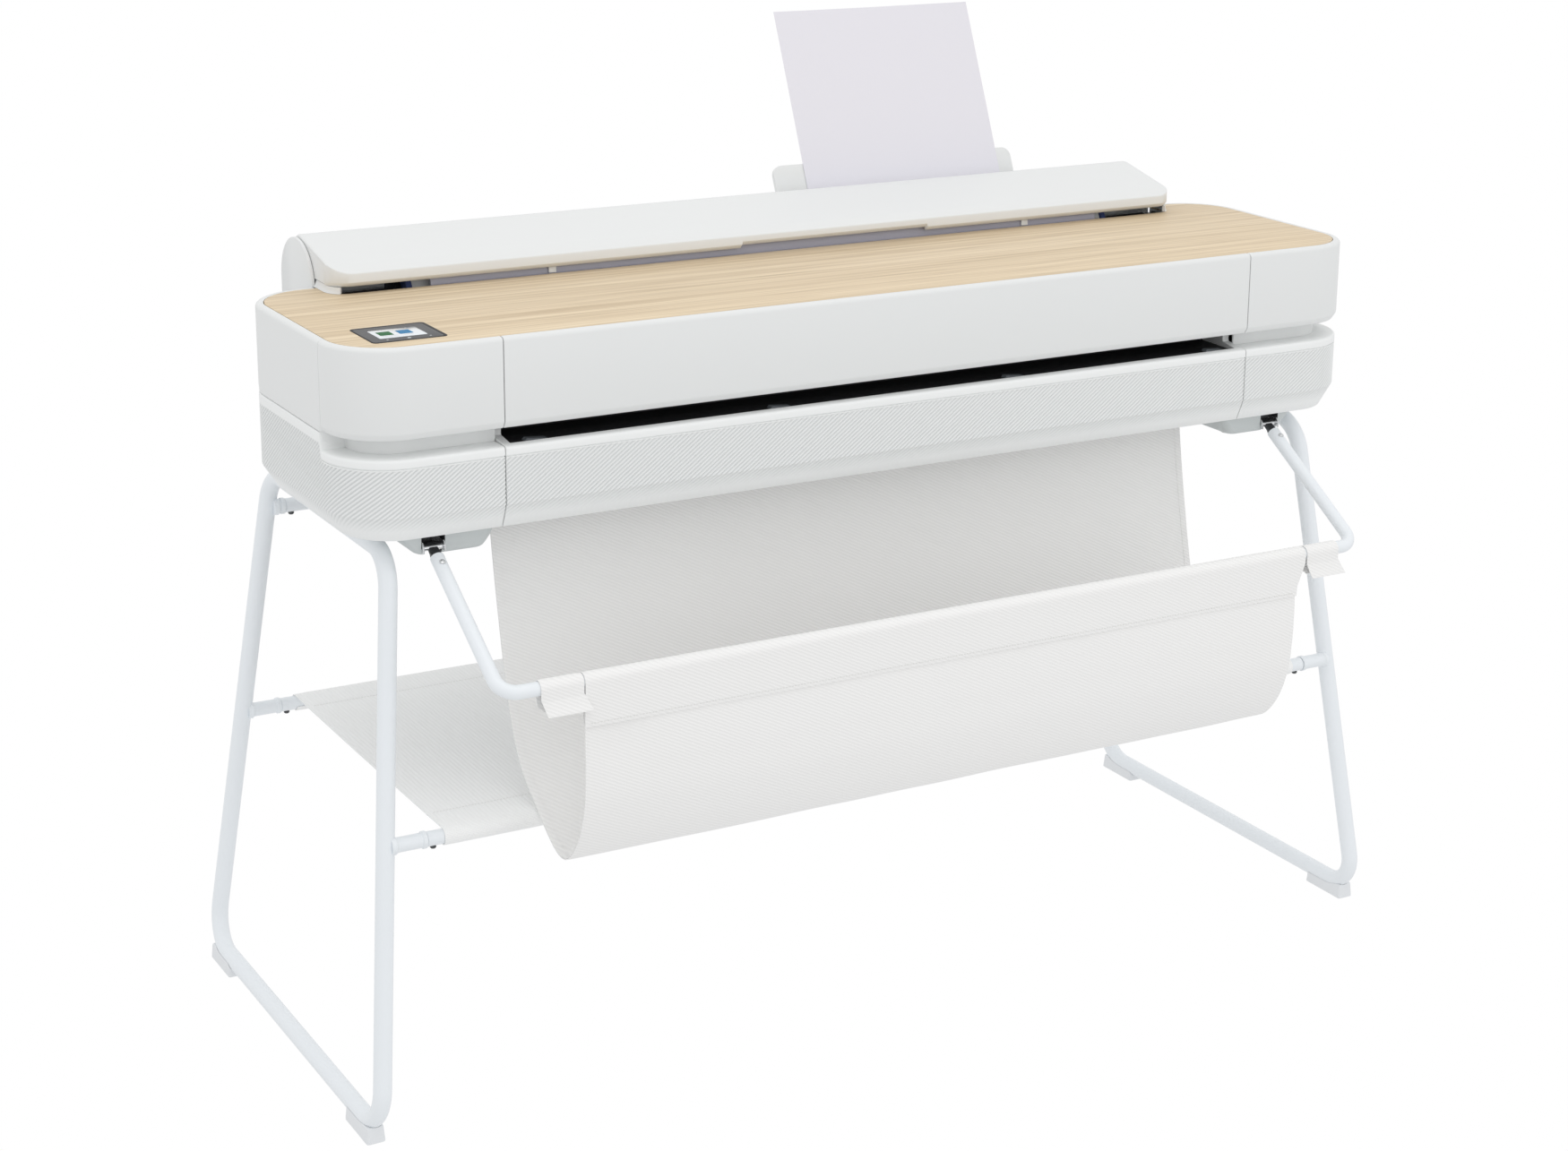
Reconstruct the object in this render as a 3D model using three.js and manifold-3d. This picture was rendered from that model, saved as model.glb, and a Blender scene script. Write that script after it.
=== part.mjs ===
// A 36-inch large format plotter on its stand: a closed printer body with a wood-faced top, a roll
// bay with its cover, a sheet tray holding one sheet, two leaning tube side frames, a fabric shelf and
// a fabric basket that hangs from a swinging bar.
//
// Units are millimetres and +Z is up. The front faces -Y and +X is to the right of someone standing
// in front. The origin is on the floor under the middle of the whole machine.

import * as THREE from "three";
import { mergeVertices } from "three/addons/utils/BufferGeometryUtils.js";
import Module from "manifold-3d";

const wasm = await Module();
wasm.setup();

// ---------------------------------------------------------------- driving dimensions

const GAP = 0.3; // clearance between neighbouring pieces
const SEAM = 0.3; // half of the visible joint between two casings
const WALL = 3; // casing wall
const HALF_DEPTH = 320; // from the origin to the basket's hem and to the sheet's top edge

const BODY = { halfWidth: 642, front: -178, back: 141, corner: 70 };
const SEAM_X = 472; // joints between the middle and the end casings
const SIDE_SEAM_Y = -106; // joint where the front corner meets the flat side
const TOP_Z = 836.6;
const RIM_Z = 832.8; // where the rounded rim starts
const UPPER_Z = 741.3; // underside of the upper casings
const LEDGE_Z = 722.5; // top of the lower casings
const CHAMFER_Z = 661.4;
const BASE_Z = 635.2; // underside of the body
const RIM = 8.5; // width of the rim around the wood panel
const WOOD_THICK = 3;
const RECESS = 26; // depth of the finger recess

const BAY = { y: 136, z: 820, radius: 44, rearY: 204, topZ: 833.6 };
const HOUSING_BACK = 198.5; // rear wall of the housing below the drum
const HOUSING_X = 554; // half length of the roll bay
const DRUM = { y: 191.3, z: 832, radius: 50, bottom: 790 }; // the round back of the housing
const CAP = { inner: 554.3, outer: 558, seat: 545 };
const ROLL = { radius: 33, core: 25.4, halfLength: 457 };

const LID_HALF = 554;
const LID = { y: 83, lipBottom: 844, lipTop: 858.5, hingeY: 184, hingeZ: 870 };

const SHEET = { width: 279.4, length: 431.8, lean: 24, x: 247.6, topZ: 1082.2 };
const TRAY = { x0: 66, x1: 409, topZ: 907, bottomZ: 829 };

const LEG_TUBE = 9.8; // outer radius of the side frames
const TUBE_WALL = 2;
const RAIL_TUBE = 8;
const BAR_TUBE = 7.5;
const LOOP = { bottomZ: 17, topZ: 613.5, bottomBend: 41.5, topBend: 43 };
const RAIL_X = 573.8; // where a crossrail meets the welded stub
const LOWER_RAIL_Z = 317.2;
const FRONT_RAIL_Y = -186;
const REAR_RAIL_Y = 263;
const UPPER_RAIL = { y: 218, z: 571.5 };

const PIVOT = { x: 539.5, y: -140.8, z: 615.6 };
const HEM_RADIUS = 9.2;
const BAR = { y: -HALF_DEPTH + HEM_RADIUS, z: 509.8, bend: 20 };
const FABRIC_HALF = 452;
const FABRIC_THICK = 2;

const STEPS = 7; // facets in each quarter turn of the casings
const SIDES = 12; // facets round a tube

// ---------------------------------------------------------------- materials

function material(color, roughness, metalness = 0) {
  return new THREE.MeshStandardMaterial({ color, roughness, metalness });
}

const WHITE_CASING = material(0xe4e6e5, 0.45);
const FRAME_PAINT = material(0xe1e5e9, 0.4, 0.1);
const FOOT_WHITE = material(0xdfe2e4, 0.55);
const WOOD = material(0xe0c79c, 0.5);
const FABRIC = material(0xf1f0ed, 0.9);
const DARK_PLASTIC = material(0x2a2b2c, 0.6);
const BEZEL_GREY = material(0x474749, 0.5);
const SCREEN_GLASS = material(0xe9edf0, 0.15);
const HINGE_GREY = material(0xbec4c4, 0.5);
const RUBBER = material(0x1a1a1a, 0.85);
const STEEL = material(0xb4b6b8, 0.35, 0.9);
const DARK_STEEL = material(0x4a4c4e, 0.45, 0.8);
const ALUMINIUM = material(0xc4c7c9, 0.4, 0.85);
const PAPER = material(0xe9e8ef, 0.9);
const ROLL_PAPER = material(0xf3f3f1, 0.9);
const HUB_BLUE = material(0x3b4f86, 0.5);
const GUIDE_BLUE = material(0x8d90a8, 0.3);
const CARTRIDGE_GREY = material(0x55585c, 0.5);

// ---------------------------------------------------------------- solids and booleans

const plotter = new THREE.Group();
plotter.name = "large_format_plotter";

/** A closed three.js geometry as a manifold solid. */
function solid(geometry) {
  const bare = geometry.clone();
  bare.deleteAttribute("normal");
  bare.deleteAttribute("uv");
  const merged = mergeVertices(bare, 1e-4);
  return new wasm.Manifold(new wasm.Mesh({
    numProp: 3,
    vertProperties: new Float32Array(merged.attributes.position.array),
    triVerts: new Uint32Array(merged.index.array),
  }));
}

/** A named mesh in the plotter from a manifold solid. */
function piece(name, shape, look) {
  const { vertProperties, triVerts } = shape.getMesh();
  const geometry = new THREE.BufferGeometry();
  geometry.setAttribute("position", new THREE.BufferAttribute(vertProperties, 3));
  geometry.setIndex(new THREE.BufferAttribute(triVerts, 1));
  geometry.computeVertexNormals();
  const mesh = new THREE.Mesh(geometry, look);
  mesh.name = name;
  plotter.add(mesh);
  return mesh;
}

function join(...shapes) {
  return shapes.reduce((whole, shape) => whole.add(shape));
}

function cut(whole, ...tools) {
  return tools.reduce((left, tool) => left.subtract(tool), whole);
}

function mirrored(shape) {
  return shape.mirror([1, 0, 0]);
}

/** A box between two corners. */
function block(x0, x1, y0, y1, z0, z1) {
  const geometry = new THREE.BoxGeometry(x1 - x0, y1 - y0, z1 - z0);
  geometry.translate((x0 + x1) / 2, (y0 + y1) / 2, (z0 + z1) / 2);
  return solid(geometry);
}

/** A cylinder along X about the line (y, z). */
function rodX(radius, x0, x1, y, z, sides = 24) {
  const geometry = new THREE.CylinderGeometry(radius, radius, x1 - x0, sides);
  geometry.rotateZ(Math.PI / 2);
  geometry.translate((x0 + x1) / 2, y, z);
  return solid(geometry);
}

/** A cylinder along Z about the line (x, y). */
function rodZ(radius, z0, z1, x, y, sides = 24) {
  const geometry = new THREE.CylinderGeometry(radius, radius, z1 - z0, sides);
  geometry.rotateX(Math.PI / 2);
  geometry.translate(x, y, (z0 + z1) / 2);
  return solid(geometry);
}

/** An outline of [y, z] points carried along X. */
function alongX(points, x0, x1) {
  const shape = new THREE.Shape(points.map(([y, z]) => new THREE.Vector2(y, z)));
  const geometry = new THREE.ExtrudeGeometry(shape, { depth: x1 - x0, bevelEnabled: false });
  const toMachine = new THREE.Matrix4().makeBasis(
    new THREE.Vector3(0, 1, 0),
    new THREE.Vector3(0, 0, 1),
    new THREE.Vector3(1, 0, 0),
  );
  geometry.applyMatrix4(toMachine);
  geometry.translate(x0, 0, 0);
  return solid(geometry);
}

/** The body's plan outline, moved inwards; side and end insets may differ. */
function plan(inset, endInset = inset) {
  const right = BODY.halfWidth - endInset;
  const front = BODY.front + inset;
  const back = BODY.back - inset;
  const radius = BODY.corner - Math.max(inset, endInset);
  const corners = [
    [right - radius, back - radius, 0],
    [-right + radius, back - radius, 1],
    [-right + radius, front + radius, 2],
    [right - radius, front + radius, 3],
  ];
  const points = [];
  for (const [x, y, quarter] of corners) {
    for (let step = 0; step <= STEPS; step += 1) {
      const angle = (quarter + step / STEPS) * (Math.PI / 2);
      points.push(new THREE.Vector2(x + radius * Math.cos(angle), y + radius * Math.sin(angle)));
    }
  }
  return points;
}

/** A closed solid through matching outlines at rising heights. */
function stack(levels) {
  const count = levels[0].outline.length;
  const positions = [];
  const index = [];
  for (const { outline, z } of levels) {
    outline.forEach((point) => positions.push(point.x, point.y, z));
  }
  for (let level = 0; level < levels.length - 1; level += 1) {
    for (let i = 0; i < count; i += 1) {
      const a = level * count + i;
      const b = level * count + ((i + 1) % count);
      index.push(a, b, b + count, a, b + count, a + count);
    }
  }
  const top = (levels.length - 1) * count;
  for (const [a, b, c] of THREE.ShapeUtils.triangulateShape(levels[0].outline, [])) {
    index.push(a, c, b);
  }
  for (const [a, b, c] of THREE.ShapeUtils.triangulateShape(levels.at(-1).outline, [])) {
    index.push(top + a, top + b, top + c);
  }
  const geometry = new THREE.BufferGeometry();
  geometry.setAttribute("position", new THREE.Float32BufferAttribute(positions, 3));
  geometry.setIndex(index);
  return solid(geometry);
}

/** The plan outline at one inset between two heights. */
function slab(inset, z0, z1) {
  return stack([{ outline: plan(inset), z: z0 }, { outline: plan(inset), z: z1 }]);
}

/** Points along a path of [u, v] corners whose bends are arcs of the given radii. */
function roundedPath(corners, radii, closed, bendSteps = 6) {
  const points = [];
  corners.forEach((corner, i) => {
    const here = new THREE.Vector2(...corner);
    const isEnd = !closed && (i === 0 || i === corners.length - 1);
    if (isEnd) {
      points.push(here);
      return;
    }
    const before = new THREE.Vector2(...corners.at(i - 1)).sub(here).normalize();
    const after = new THREE.Vector2(...corners[(i + 1) % corners.length]).sub(here).normalize();
    const half = Math.acos(before.dot(after)) / 2;
    const reach = radii[i] / Math.tan(half);
    const middle = before.clone().add(after).normalize().multiplyScalar(radii[i] / Math.sin(half));
    const centre = here.clone().add(middle);
    const start = here.clone().addScaledVector(before, reach).sub(centre);
    const finish = here.clone().addScaledVector(after, reach).sub(centre);
    const turn = Math.atan2(start.cross(finish), start.dot(finish));
    for (let step = 0; step <= bendSteps; step += 1) {
      const spoke = start.clone().rotateAround(new THREE.Vector2(), (turn * step) / bendSteps);
      points.push(centre.clone().add(spoke));
    }
  });
  return points;
}

/** A round bar along points in one plane; closed paths join up, open ones are capped. */
function sweep(points, planeNormal, radius, closed, sides = SIDES) {
  const positions = [];
  const index = [];
  const last = points.length - 1;
  points.forEach((point, i) => {
    const before = closed || i > 0 ? points.at(i - 1) : point;
    const after = closed || i < last ? points[(i + 1) % points.length] : point;
    const arriving = point.clone().sub(before).normalize();
    const leaving = after.clone().sub(point).normalize();
    const along = arriving.clone().add(leaving).normalize();
    const across = new THREE.Vector3().crossVectors(planeNormal, along).normalize();
    const bends = arriving.lengthSq() > 0 && leaving.lengthSq() > 0;
    const widen = bends ? 1 / Math.max(0.5, along.dot(leaving)) : 1;
    for (let side = 0; side < sides; side += 1) {
      const angle = (2 * Math.PI * (side + 0.5)) / sides;
      const spoke = across.clone().multiplyScalar(widen * radius * Math.cos(angle));
      spoke.addScaledVector(planeNormal, radius * Math.sin(angle));
      positions.push(point.x + spoke.x, point.y + spoke.y, point.z + spoke.z);
    }
  });
  const spans = closed ? points.length : last;
  for (let i = 0; i < spans; i += 1) {
    for (let side = 0; side < sides; side += 1) {
      const next = (side + 1) % sides;
      const a = i * sides + side;
      const b = i * sides + next;
      const far = ((i + 1) % points.length) * sides;
      index.push(a, far + side, far + next, a, far + next, b);
    }
  }
  if (!closed) {
    for (let side = 1; side < sides - 1; side += 1) {
      index.push(0, side, side + 1);
      index.push(last * sides, last * sides + side + 1, last * sides + side);
    }
  }
  const geometry = new THREE.BufferGeometry();
  geometry.setAttribute("position", new THREE.Float32BufferAttribute(positions, 3));
  geometry.setIndex(index);
  const shape = solid(geometry);
  return shape.volume() > 0 ? shape : solid(geometry.clone().setIndex([...index].reverse()));
}

/** A band of even thickness along a curve of [y, z] points, as a closed outline. */
function band(points, thickness) {
  const left = [];
  const right = [];
  points.forEach(([y, z], i) => {
    const [y0, z0] = points[Math.max(0, i - 1)];
    const [y1, z1] = points[Math.min(points.length - 1, i + 1)];
    const length = Math.hypot(y1 - y0, z1 - z0);
    const ny = ((z0 - z1) / length) * (thickness / 2);
    const nz = ((y1 - y0) / length) * (thickness / 2);
    left.push([y + ny, z + nz]);
    right.push([y - ny, z - nz]);
  });
  return [...left, ...right.reverse()];
}

function pairOf(name, shape, look) {
  piece(`right_${name}`, shape, look);
  piece(`left_${name}`, mirrored(shape), look);
}

// ---------------------------------------------------------------- stand

/** Where the leaning plane of a side frame lies at a height. */
function frameX(z) {
  return 649.2 - 0.1026 * z;
}

function frontLegY(z) {
  return -230.1 + 0.1505 * z;
}

function rearLegY(z) {
  return 317.3 - 0.1586 * z;
}

function loopPoints() {
  const { bottomZ, topZ, bottomBend, topBend } = LOOP;
  const corners = [
    [frontLegY(bottomZ), bottomZ],
    [rearLegY(bottomZ), bottomZ],
    [rearLegY(topZ), topZ],
    [frontLegY(topZ), topZ],
  ];
  const path = roundedPath(corners, [bottomBend, bottomBend, topBend, topBend], true);
  return path.map(({ x, y }) => new THREE.Vector3(frameX(y), x, y));
}

const FRAME_NORMAL = new THREE.Vector3(1, 0, 0.1026).normalize();
const STUBS = [[FRONT_RAIL_Y, LOWER_RAIL_Z], [REAR_RAIL_Y, LOWER_RAIL_Z], [UPPER_RAIL.y, UPPER_RAIL.z]];
const SCREW_X = RAIL_X - 8;
const COLLAR = 9.3;

/** One side frame: a closed tube loop with the stubs that carry the crossrails. */
function sideFrame() {
  const points = loopPoints();
  const bore = sweep(points, FRAME_NORMAL, LEG_TUBE - TUBE_WALL, true);
  const drain = rodZ(2.5, 0, LOOP.bottomZ, frameX(LOOP.bottomZ), 40, 8);
  let frame = sweep(points, FRAME_NORMAL, LEG_TUBE, true);
  for (const [y, z] of STUBS) {
    const stub = rodX(RAIL_TUBE, RAIL_X + GAP, frameX(z) - 2, y, z, 16);
    const collar = rodX(COLLAR, RAIL_X + GAP, RAIL_X + 5, y, z, 16);
    frame = frame.add(stub.add(collar));
  }
  return cut(frame, bore, drain);
}

/** A pan-head screw pointing up into the end of a crossrail. */
function railScrew(y, z) {
  const headZ = z - RAIL_TUBE - 0.4;
  const shank = rodZ(1.9, headZ - 1, headZ + 5, SCREW_X, y, 8);
  const rim = rodZ(3.4, headZ - 1.6, headZ, SCREW_X, y, 12);
  const dome = rodZ(2.6, headZ - 2.6, headZ - 1, SCREW_X, y, 12);
  const slot = block(SCREW_X - 0.4, SCREW_X + 0.4, y - 2, y + 2, headZ - 3, headZ - 2);
  return join(shank, rim, dome).subtract(slot);
}

const FOOT = { x: 648, length: 66, front: -212.4, rear: 302.4, height: 18, top: 9.3, bottom: 10.5 };

/** A moulded foot that cradles the tube's bottom run, from y0 to y0 + length. */
function foot(y0) {
  const { x } = FOOT;
  const ring = (half, trim) => [
    new THREE.Vector2(x - half, y0 + trim),
    new THREE.Vector2(x + half, y0 + trim),
    new THREE.Vector2(x + half, y0 + FOOT.length - trim),
    new THREE.Vector2(x - half, y0 + FOOT.length - trim),
  ];
  const whole = stack([
    { outline: ring(FOOT.bottom, 0), z: 0 },
    { outline: ring(FOOT.bottom, 0), z: 3 },
    { outline: ring(FOOT.top, 1.5), z: FOOT.height },
  ]);
  return whole.subtract(sweep(loopPoints(), FRAME_NORMAL, LEG_TUBE + GAP, true));
}

function hollowRail(y, z) {
  const hole = rodZ(1.9 + GAP, z - RAIL_TUBE - 1, z, SCREW_X, y, 10);
  return cut(
    rodX(RAIL_TUBE, -RAIL_X, RAIL_X, y, z, 16),
    rodX(RAIL_TUBE - TUBE_WALL, -RAIL_X - 1, RAIL_X + 1, y, z, 16),
    hole,
    mirrored(hole),
  );
}

/** The shelf: one panel of fabric whose two hems are sleeves round the lower rails. */
function shelfSling() {
  const half = 556;
  const outer = RAIL_TUBE + GAP + 1.6;
  const topZ = LOWER_RAIL_Z + outer;
  const sleeves = join(
    rodX(outer, -half, half, FRONT_RAIL_Y, LOWER_RAIL_Z, 16),
    rodX(outer, -half, half, REAR_RAIL_Y, LOWER_RAIL_Z, 16),
    block(-half, half, FRONT_RAIL_Y, REAR_RAIL_Y, topZ - 2.2, topZ - 0.4),
  );
  return cut(
    sleeves,
    rodX(RAIL_TUBE + GAP, -half - 1, half + 1, FRONT_RAIL_Y, LOWER_RAIL_Z, 16),
    rodX(RAIL_TUBE + GAP, -half - 1, half + 1, REAR_RAIL_Y, LOWER_RAIL_Z, 16),
  );
}

function buildStand() {
  pairOf("side_frame", sideFrame(), FRAME_PAINT);
  pairOf("front_foot", foot(FOOT.front), FOOT_WHITE);
  pairOf("rear_foot", foot(FOOT.rear - FOOT.length), FOOT_WHITE);
  piece("lower_front_rail", hollowRail(FRONT_RAIL_Y, LOWER_RAIL_Z), FRAME_PAINT);
  piece("lower_rear_rail", hollowRail(REAR_RAIL_Y, LOWER_RAIL_Z), FRAME_PAINT);
  piece("upper_rear_rail", hollowRail(UPPER_RAIL.y, UPPER_RAIL.z), FRAME_PAINT);
  const places = ["lower_front_screw", "lower_rear_screw", "upper_rear_screw"];
  STUBS.forEach(([y, z], i) => pairOf(places[i], railScrew(y, z), DARK_STEEL));
  piece("shelf_sling", shelfSling(), FABRIC);
}

// ---------------------------------------------------------------- basket

const HOUSING = { x0: 468, x1: 575.5, y0: -144, y1: -56, z0: 608.3, z1: BASE_Z - GAP };
const POCKET = { half: 13, y1: -104, z0: 611 };
const PIN_RADIUS = 3;
const ARM_HOLE = PIN_RADIUS + GAP;

/** The moulded block under the body that carries the bar's hinge. */
function hingeHousing() {
  const { x0, x1, y0, y1, z0, z1 } = HOUSING;
  const ring = (left, right, y) => [
    new THREE.Vector2(x0 + left, y0 + y),
    new THREE.Vector2(x1 - right, y0 + y),
    new THREE.Vector2(x1 - right, y1 - y),
    new THREE.Vector2(x0 + left, y1 - y),
  ];
  const whole = stack([
    { outline: ring(16, 22, 5), z: z0 },
    { outline: ring(11, 15, 1.5), z: z0 + 4 },
    { outline: ring(0, 0, 0), z: z1 },
  ]);
  const pocket = block(
    PIVOT.x - POCKET.half, PIVOT.x + POCKET.half, y0 - 1, POCKET.y1, POCKET.z0, z1 + 1,
  );
  const armNotch = block(PIVOT.x - 9.4, PIVOT.x + 9.4, y0 - 1, -126, z0 - 1, POCKET.z0 + 1);
  return cut(whole, pocket, armNotch);
}

/** A folded steel bracket with two ears and a riveted pin, fixed in the housing's pocket. */
function hingeBracket() {
  const half = POCKET.half - GAP;
  const ear = 1.8;
  const top = HOUSING.z1 - 0.5;
  const cheeks = join(
    block(PIVOT.x - half, PIVOT.x - half + ear, -147, -108, 612, top),
    block(PIVOT.x + half - ear, PIVOT.x + half, -147, -108, 612, top),
    block(PIVOT.x - half, PIVOT.x + half, -124, -108, top - 2.5, top),
  );
  return cheeks.add(rodX(PIN_RADIUS, PIVOT.x - half, PIVOT.x + half, PIVOT.y, PIVOT.z, 16));
}

/** The U-shaped bar: two arms from the pivots and the long front run. */
function basketBar() {
  const drop = PIVOT.z - BAR.z;
  const reach = PIVOT.y - BAR.y;
  const arm = Math.hypot(drop, reach);
  const down = new THREE.Vector3(0, -reach / arm, -drop / arm);
  const normal = new THREE.Vector3().crossVectors(new THREE.Vector3(1, 0, 0), down);
  const corners = [[-PIVOT.x, -9], [-PIVOT.x, arm], [PIVOT.x, arm], [PIVOT.x, -9]];
  const path = roundedPath(corners, [0, BAR.bend, BAR.bend, 0], false, 7);
  const pivot = new THREE.Vector3(0, PIVOT.y, PIVOT.z);
  const points = path.map(({ x, y }) => pivot.clone().addScaledVector(down, y).setX(x));
  const solidBar = sweep(points, normal, BAR_TUBE, false);
  const inner = points.map((point) => point.clone());
  inner[0].addScaledVector(down, 4);
  inner[inner.length - 1].addScaledVector(down, 4);
  const bore = sweep(inner, normal, BAR_TUBE - TUBE_WALL, false);
  return cut(
    solidBar,
    bore,
    rodX(ARM_HOLE, PIVOT.x - 20, PIVOT.x + 20, PIVOT.y, PIVOT.z, 16),
    rodX(ARM_HOLE, -PIVOT.x - 20, -PIVOT.x + 20, PIVOT.y, PIVOT.z, 16),
  );
}

/** The basket's curve from its rear edge down, round and up to just under the bar. */
function slingCurve() {
  const knots = [
    [-82, 629], [-83, 606], [-99, 520], [-122, 425], [-150, 366], [-194, 328], [-238, 300],
    [-268, 301], [-295, 330], [-311, 370], [-315, 410], [-312, 450], [-310.8, 483],
  ];
  const curve = new THREE.CatmullRomCurve3(knots.map(([y, z]) => new THREE.Vector3(0, y, z)));
  return curve.getSpacedPoints(26).map((point) => [point.y, point.z]);
}

/** The hem sleeved on the bar, its hanging edge, and the hook-and-loop tab at each end. */
function basketHem() {
  const tabEnd = FABRIC_HALF + 52;
  const edge = block(-FABRIC_HALF, FABRIC_HALF, BAR.y - 1, BAR.y + 1, 486, BAR.z - 8.4);
  const tab = block(FABRIC_HALF + 6, tabEnd, BAR.y - 1, BAR.y + 1, 480, BAR.z - 8.4);
  const sleeve = rodX(HEM_RADIUS, -tabEnd, tabEnd, BAR.y, BAR.z, 20);
  const bar = rodX(BAR_TUBE + GAP, -tabEnd - 1, tabEnd + 1, BAR.y, BAR.z, 20);
  return join(sleeve, edge, tab, mirrored(tab)).subtract(bar);
}

function buildBasket() {
  pairOf("hinge_housing", hingeHousing(), HINGE_GREY);
  pairOf("hinge_bracket", hingeBracket(), DARK_STEEL);
  pairOf("rubber_pad", rodZ(11, 603.5, 608, 505, -112, 20), RUBBER);
  piece("basket_bar", basketBar(), FRAME_PAINT);
  piece("basket_hem", basketHem(), FABRIC);
  piece("basket_sling", alongX(band(slingCurve(), FABRIC_THICK), -FABRIC_HALF, FABRIC_HALF), FABRIC);
}

// ---------------------------------------------------------------- casings

const RAIL_CASE_END = 558.5; // where the side casings stop at the back

/** The whole upper casing as one ring, before it is divided at its seams. */
function upperRing() {
  const outer = stack([
    { outline: plan(4.5), z: UPPER_Z },
    { outline: plan(0.6), z: UPPER_Z + 6 },
    { outline: plan(0), z: UPPER_Z + 8 },
    { outline: plan(0), z: RIM_Z },
    { outline: plan(1.6), z: RIM_Z + 2.6 },
    { outline: plan(4.4), z: TOP_Z },
  ]);
  const inner = stack([
    { outline: plan(WALL), z: UPPER_Z + WALL + 4 },
    { outline: plan(WALL), z: RIM_Z - 6 },
    { outline: plan(RIM), z: RIM_Z - 2.5 },
    { outline: plan(RIM), z: TOP_Z + 1 },
  ]);
  const bottomOpening = slab(RECESS + 4, UPPER_Z - 1, UPPER_Z + 9);
  return cut(outer, inner, bottomOpening);
}

/** The whole lower casing as one ring: a flange below, the wall, and the ledge on top. */
function lowerRing() {
  const outer = stack([
    { outline: plan(12, 17), z: BASE_Z },
    { outline: plan(0), z: CHAMFER_Z },
    { outline: plan(0), z: LEDGE_Z - 3 },
    { outline: plan(0.9), z: LEDGE_Z - 0.9 },
    { outline: plan(3), z: LEDGE_Z },
  ]);
  const inner = stack([
    { outline: plan(13.5, 18.5), z: BASE_Z + WALL },
    { outline: plan(WALL), z: CHAMFER_Z + 1 },
    { outline: plan(WALL), z: LEDGE_Z - WALL },
  ]);
  return cut(outer, inner, slab(60, BASE_Z - 1, BASE_Z + WALL + 1), slab(38, LEDGE_Z - 4, LEDGE_Z + 1));
}

/** The wall behind the finger recess and the flush wall of the flat side. */
function recessWall() {
  const z0 = LEDGE_Z - 1;
  const z1 = UPPER_Z - GAP;
  const front = slab(RECESS, z0, z1).subtract(slab(RECESS + WALL, z0 - 1, z1 + 1));
  const side = slab(1.5, z0, z1).subtract(slab(1.5 + WALL, z0 - 1, z1 + 1));
  const ahead = block(-700, 700, -400, SIDE_SEAM_Y, 600, 800);
  const behind = block(-700, 700, SIDE_SEAM_Y, 400, 600, 800);
  const step = slab(1.5, z0, z1).subtract(slab(RECESS + WALL, z0 - 1, z1 + 1));
  const stepBox = block(-700, 700, SIDE_SEAM_Y, SIDE_SEAM_Y + WALL, 600, 800);
  return join(front.intersect(ahead), side.intersect(behind), step.intersect(stepBox));
}

const END_SIDE = block(SEAM_X + SEAM, 700, -400, 400, 600, 900);
const REAR_CUT = block(-RAIL_CASE_END, RAIL_CASE_END, 60, 400, 600, 900);

function buildCasings() {
  const upper = upperRing();
  const lower = lowerRing();
  const middle = block(-SEAM_X + SEAM, SEAM_X - SEAM, -400, 0, 600, 900);
  const doorSide = block(SEAM_X + SEAM, 700, -400, SIDE_SEAM_Y - SEAM, 600, 900);
  const flatSide = block(500, 700, SIDE_SEAM_Y + SEAM, 400, 600, 900);
  piece("front_cover", upper.intersect(middle), WHITE_CASING);
  pairOf("corner_door", upper.intersect(doorSide), WHITE_CASING);
  pairOf("upper_side_casing", upper.intersect(flatSide).subtract(REAR_CUT), WHITE_CASING);
  piece("lower_front_panel", lower.intersect(middle), WHITE_CASING);
  const lowerEnd = lower.add(recessWall()).intersect(END_SIDE).subtract(REAR_CUT);
  pairOf("lower_end_casing", lowerEnd, WHITE_CASING);

  const opening = block(-HOUSING_X - 0.5, HOUSING_X + 0.5, 88.5, 400, 800, 900);
  const bezelHole = block(-598.3, -517.2, -146.3, -75.7, 826, 850);
  const deck = slab(RIM + 0.5, TOP_Z - WOOD_THICK - 3.1, TOP_Z - WOOD_THICK - GAP);
  piece("top_deck", deck.subtract(opening), WHITE_CASING);
  const wood = slab(RIM + GAP, TOP_Z - WOOD_THICK, TOP_Z - 0.1);
  piece("wood_top", cut(wood, opening, bezelHole), WOOD);

  const bezel = block(-598, -517.5, -146, -76, TOP_Z - WOOD_THICK, TOP_Z + 0.5);
  const screenSeat = block(-585.3, -533.7, -131.3, -93.7, TOP_Z - 1, TOP_Z + 1);
  piece("control_bezel", bezel.subtract(screenSeat), BEZEL_GREY);
  piece("touch_screen", block(-585, -534, -131, -94, TOP_Z - 0.7, TOP_Z + 0.7), SCREEN_GLASS);
}

// ---------------------------------------------------------------- roll bay, roll and cover

/** The bay's hollow section, grown outwards by a margin. */
function baySection(margin, half) {
  const top = 900;
  const round = rodX(BAY.radius + margin, -half, half, BAY.y, BAY.z, 40);
  const open = alongX([
    [BAY.y - BAY.radius - margin, BAY.z],
    [BAY.y + BAY.radius + margin, BAY.z],
    [BAY.rearY + margin, BAY.z + 18],
    [BAY.rearY + margin, top],
    [BAY.y - BAY.radius - margin, top],
  ], -half, half);
  return round.add(open);
}

/** Points of the drum's arc from straight back, turning up to an angle in degrees. */
function drumArc(radius, degrees) {
  const points = [];
  const steps = 10;
  for (let step = 0; step <= steps; step += 1) {
    const angle = THREE.MathUtils.degToRad((degrees * step) / steps);
    points.push([DRUM.y + radius * Math.cos(angle), DRUM.z + radius * Math.sin(angle)]);
  }
  return points;
}

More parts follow.
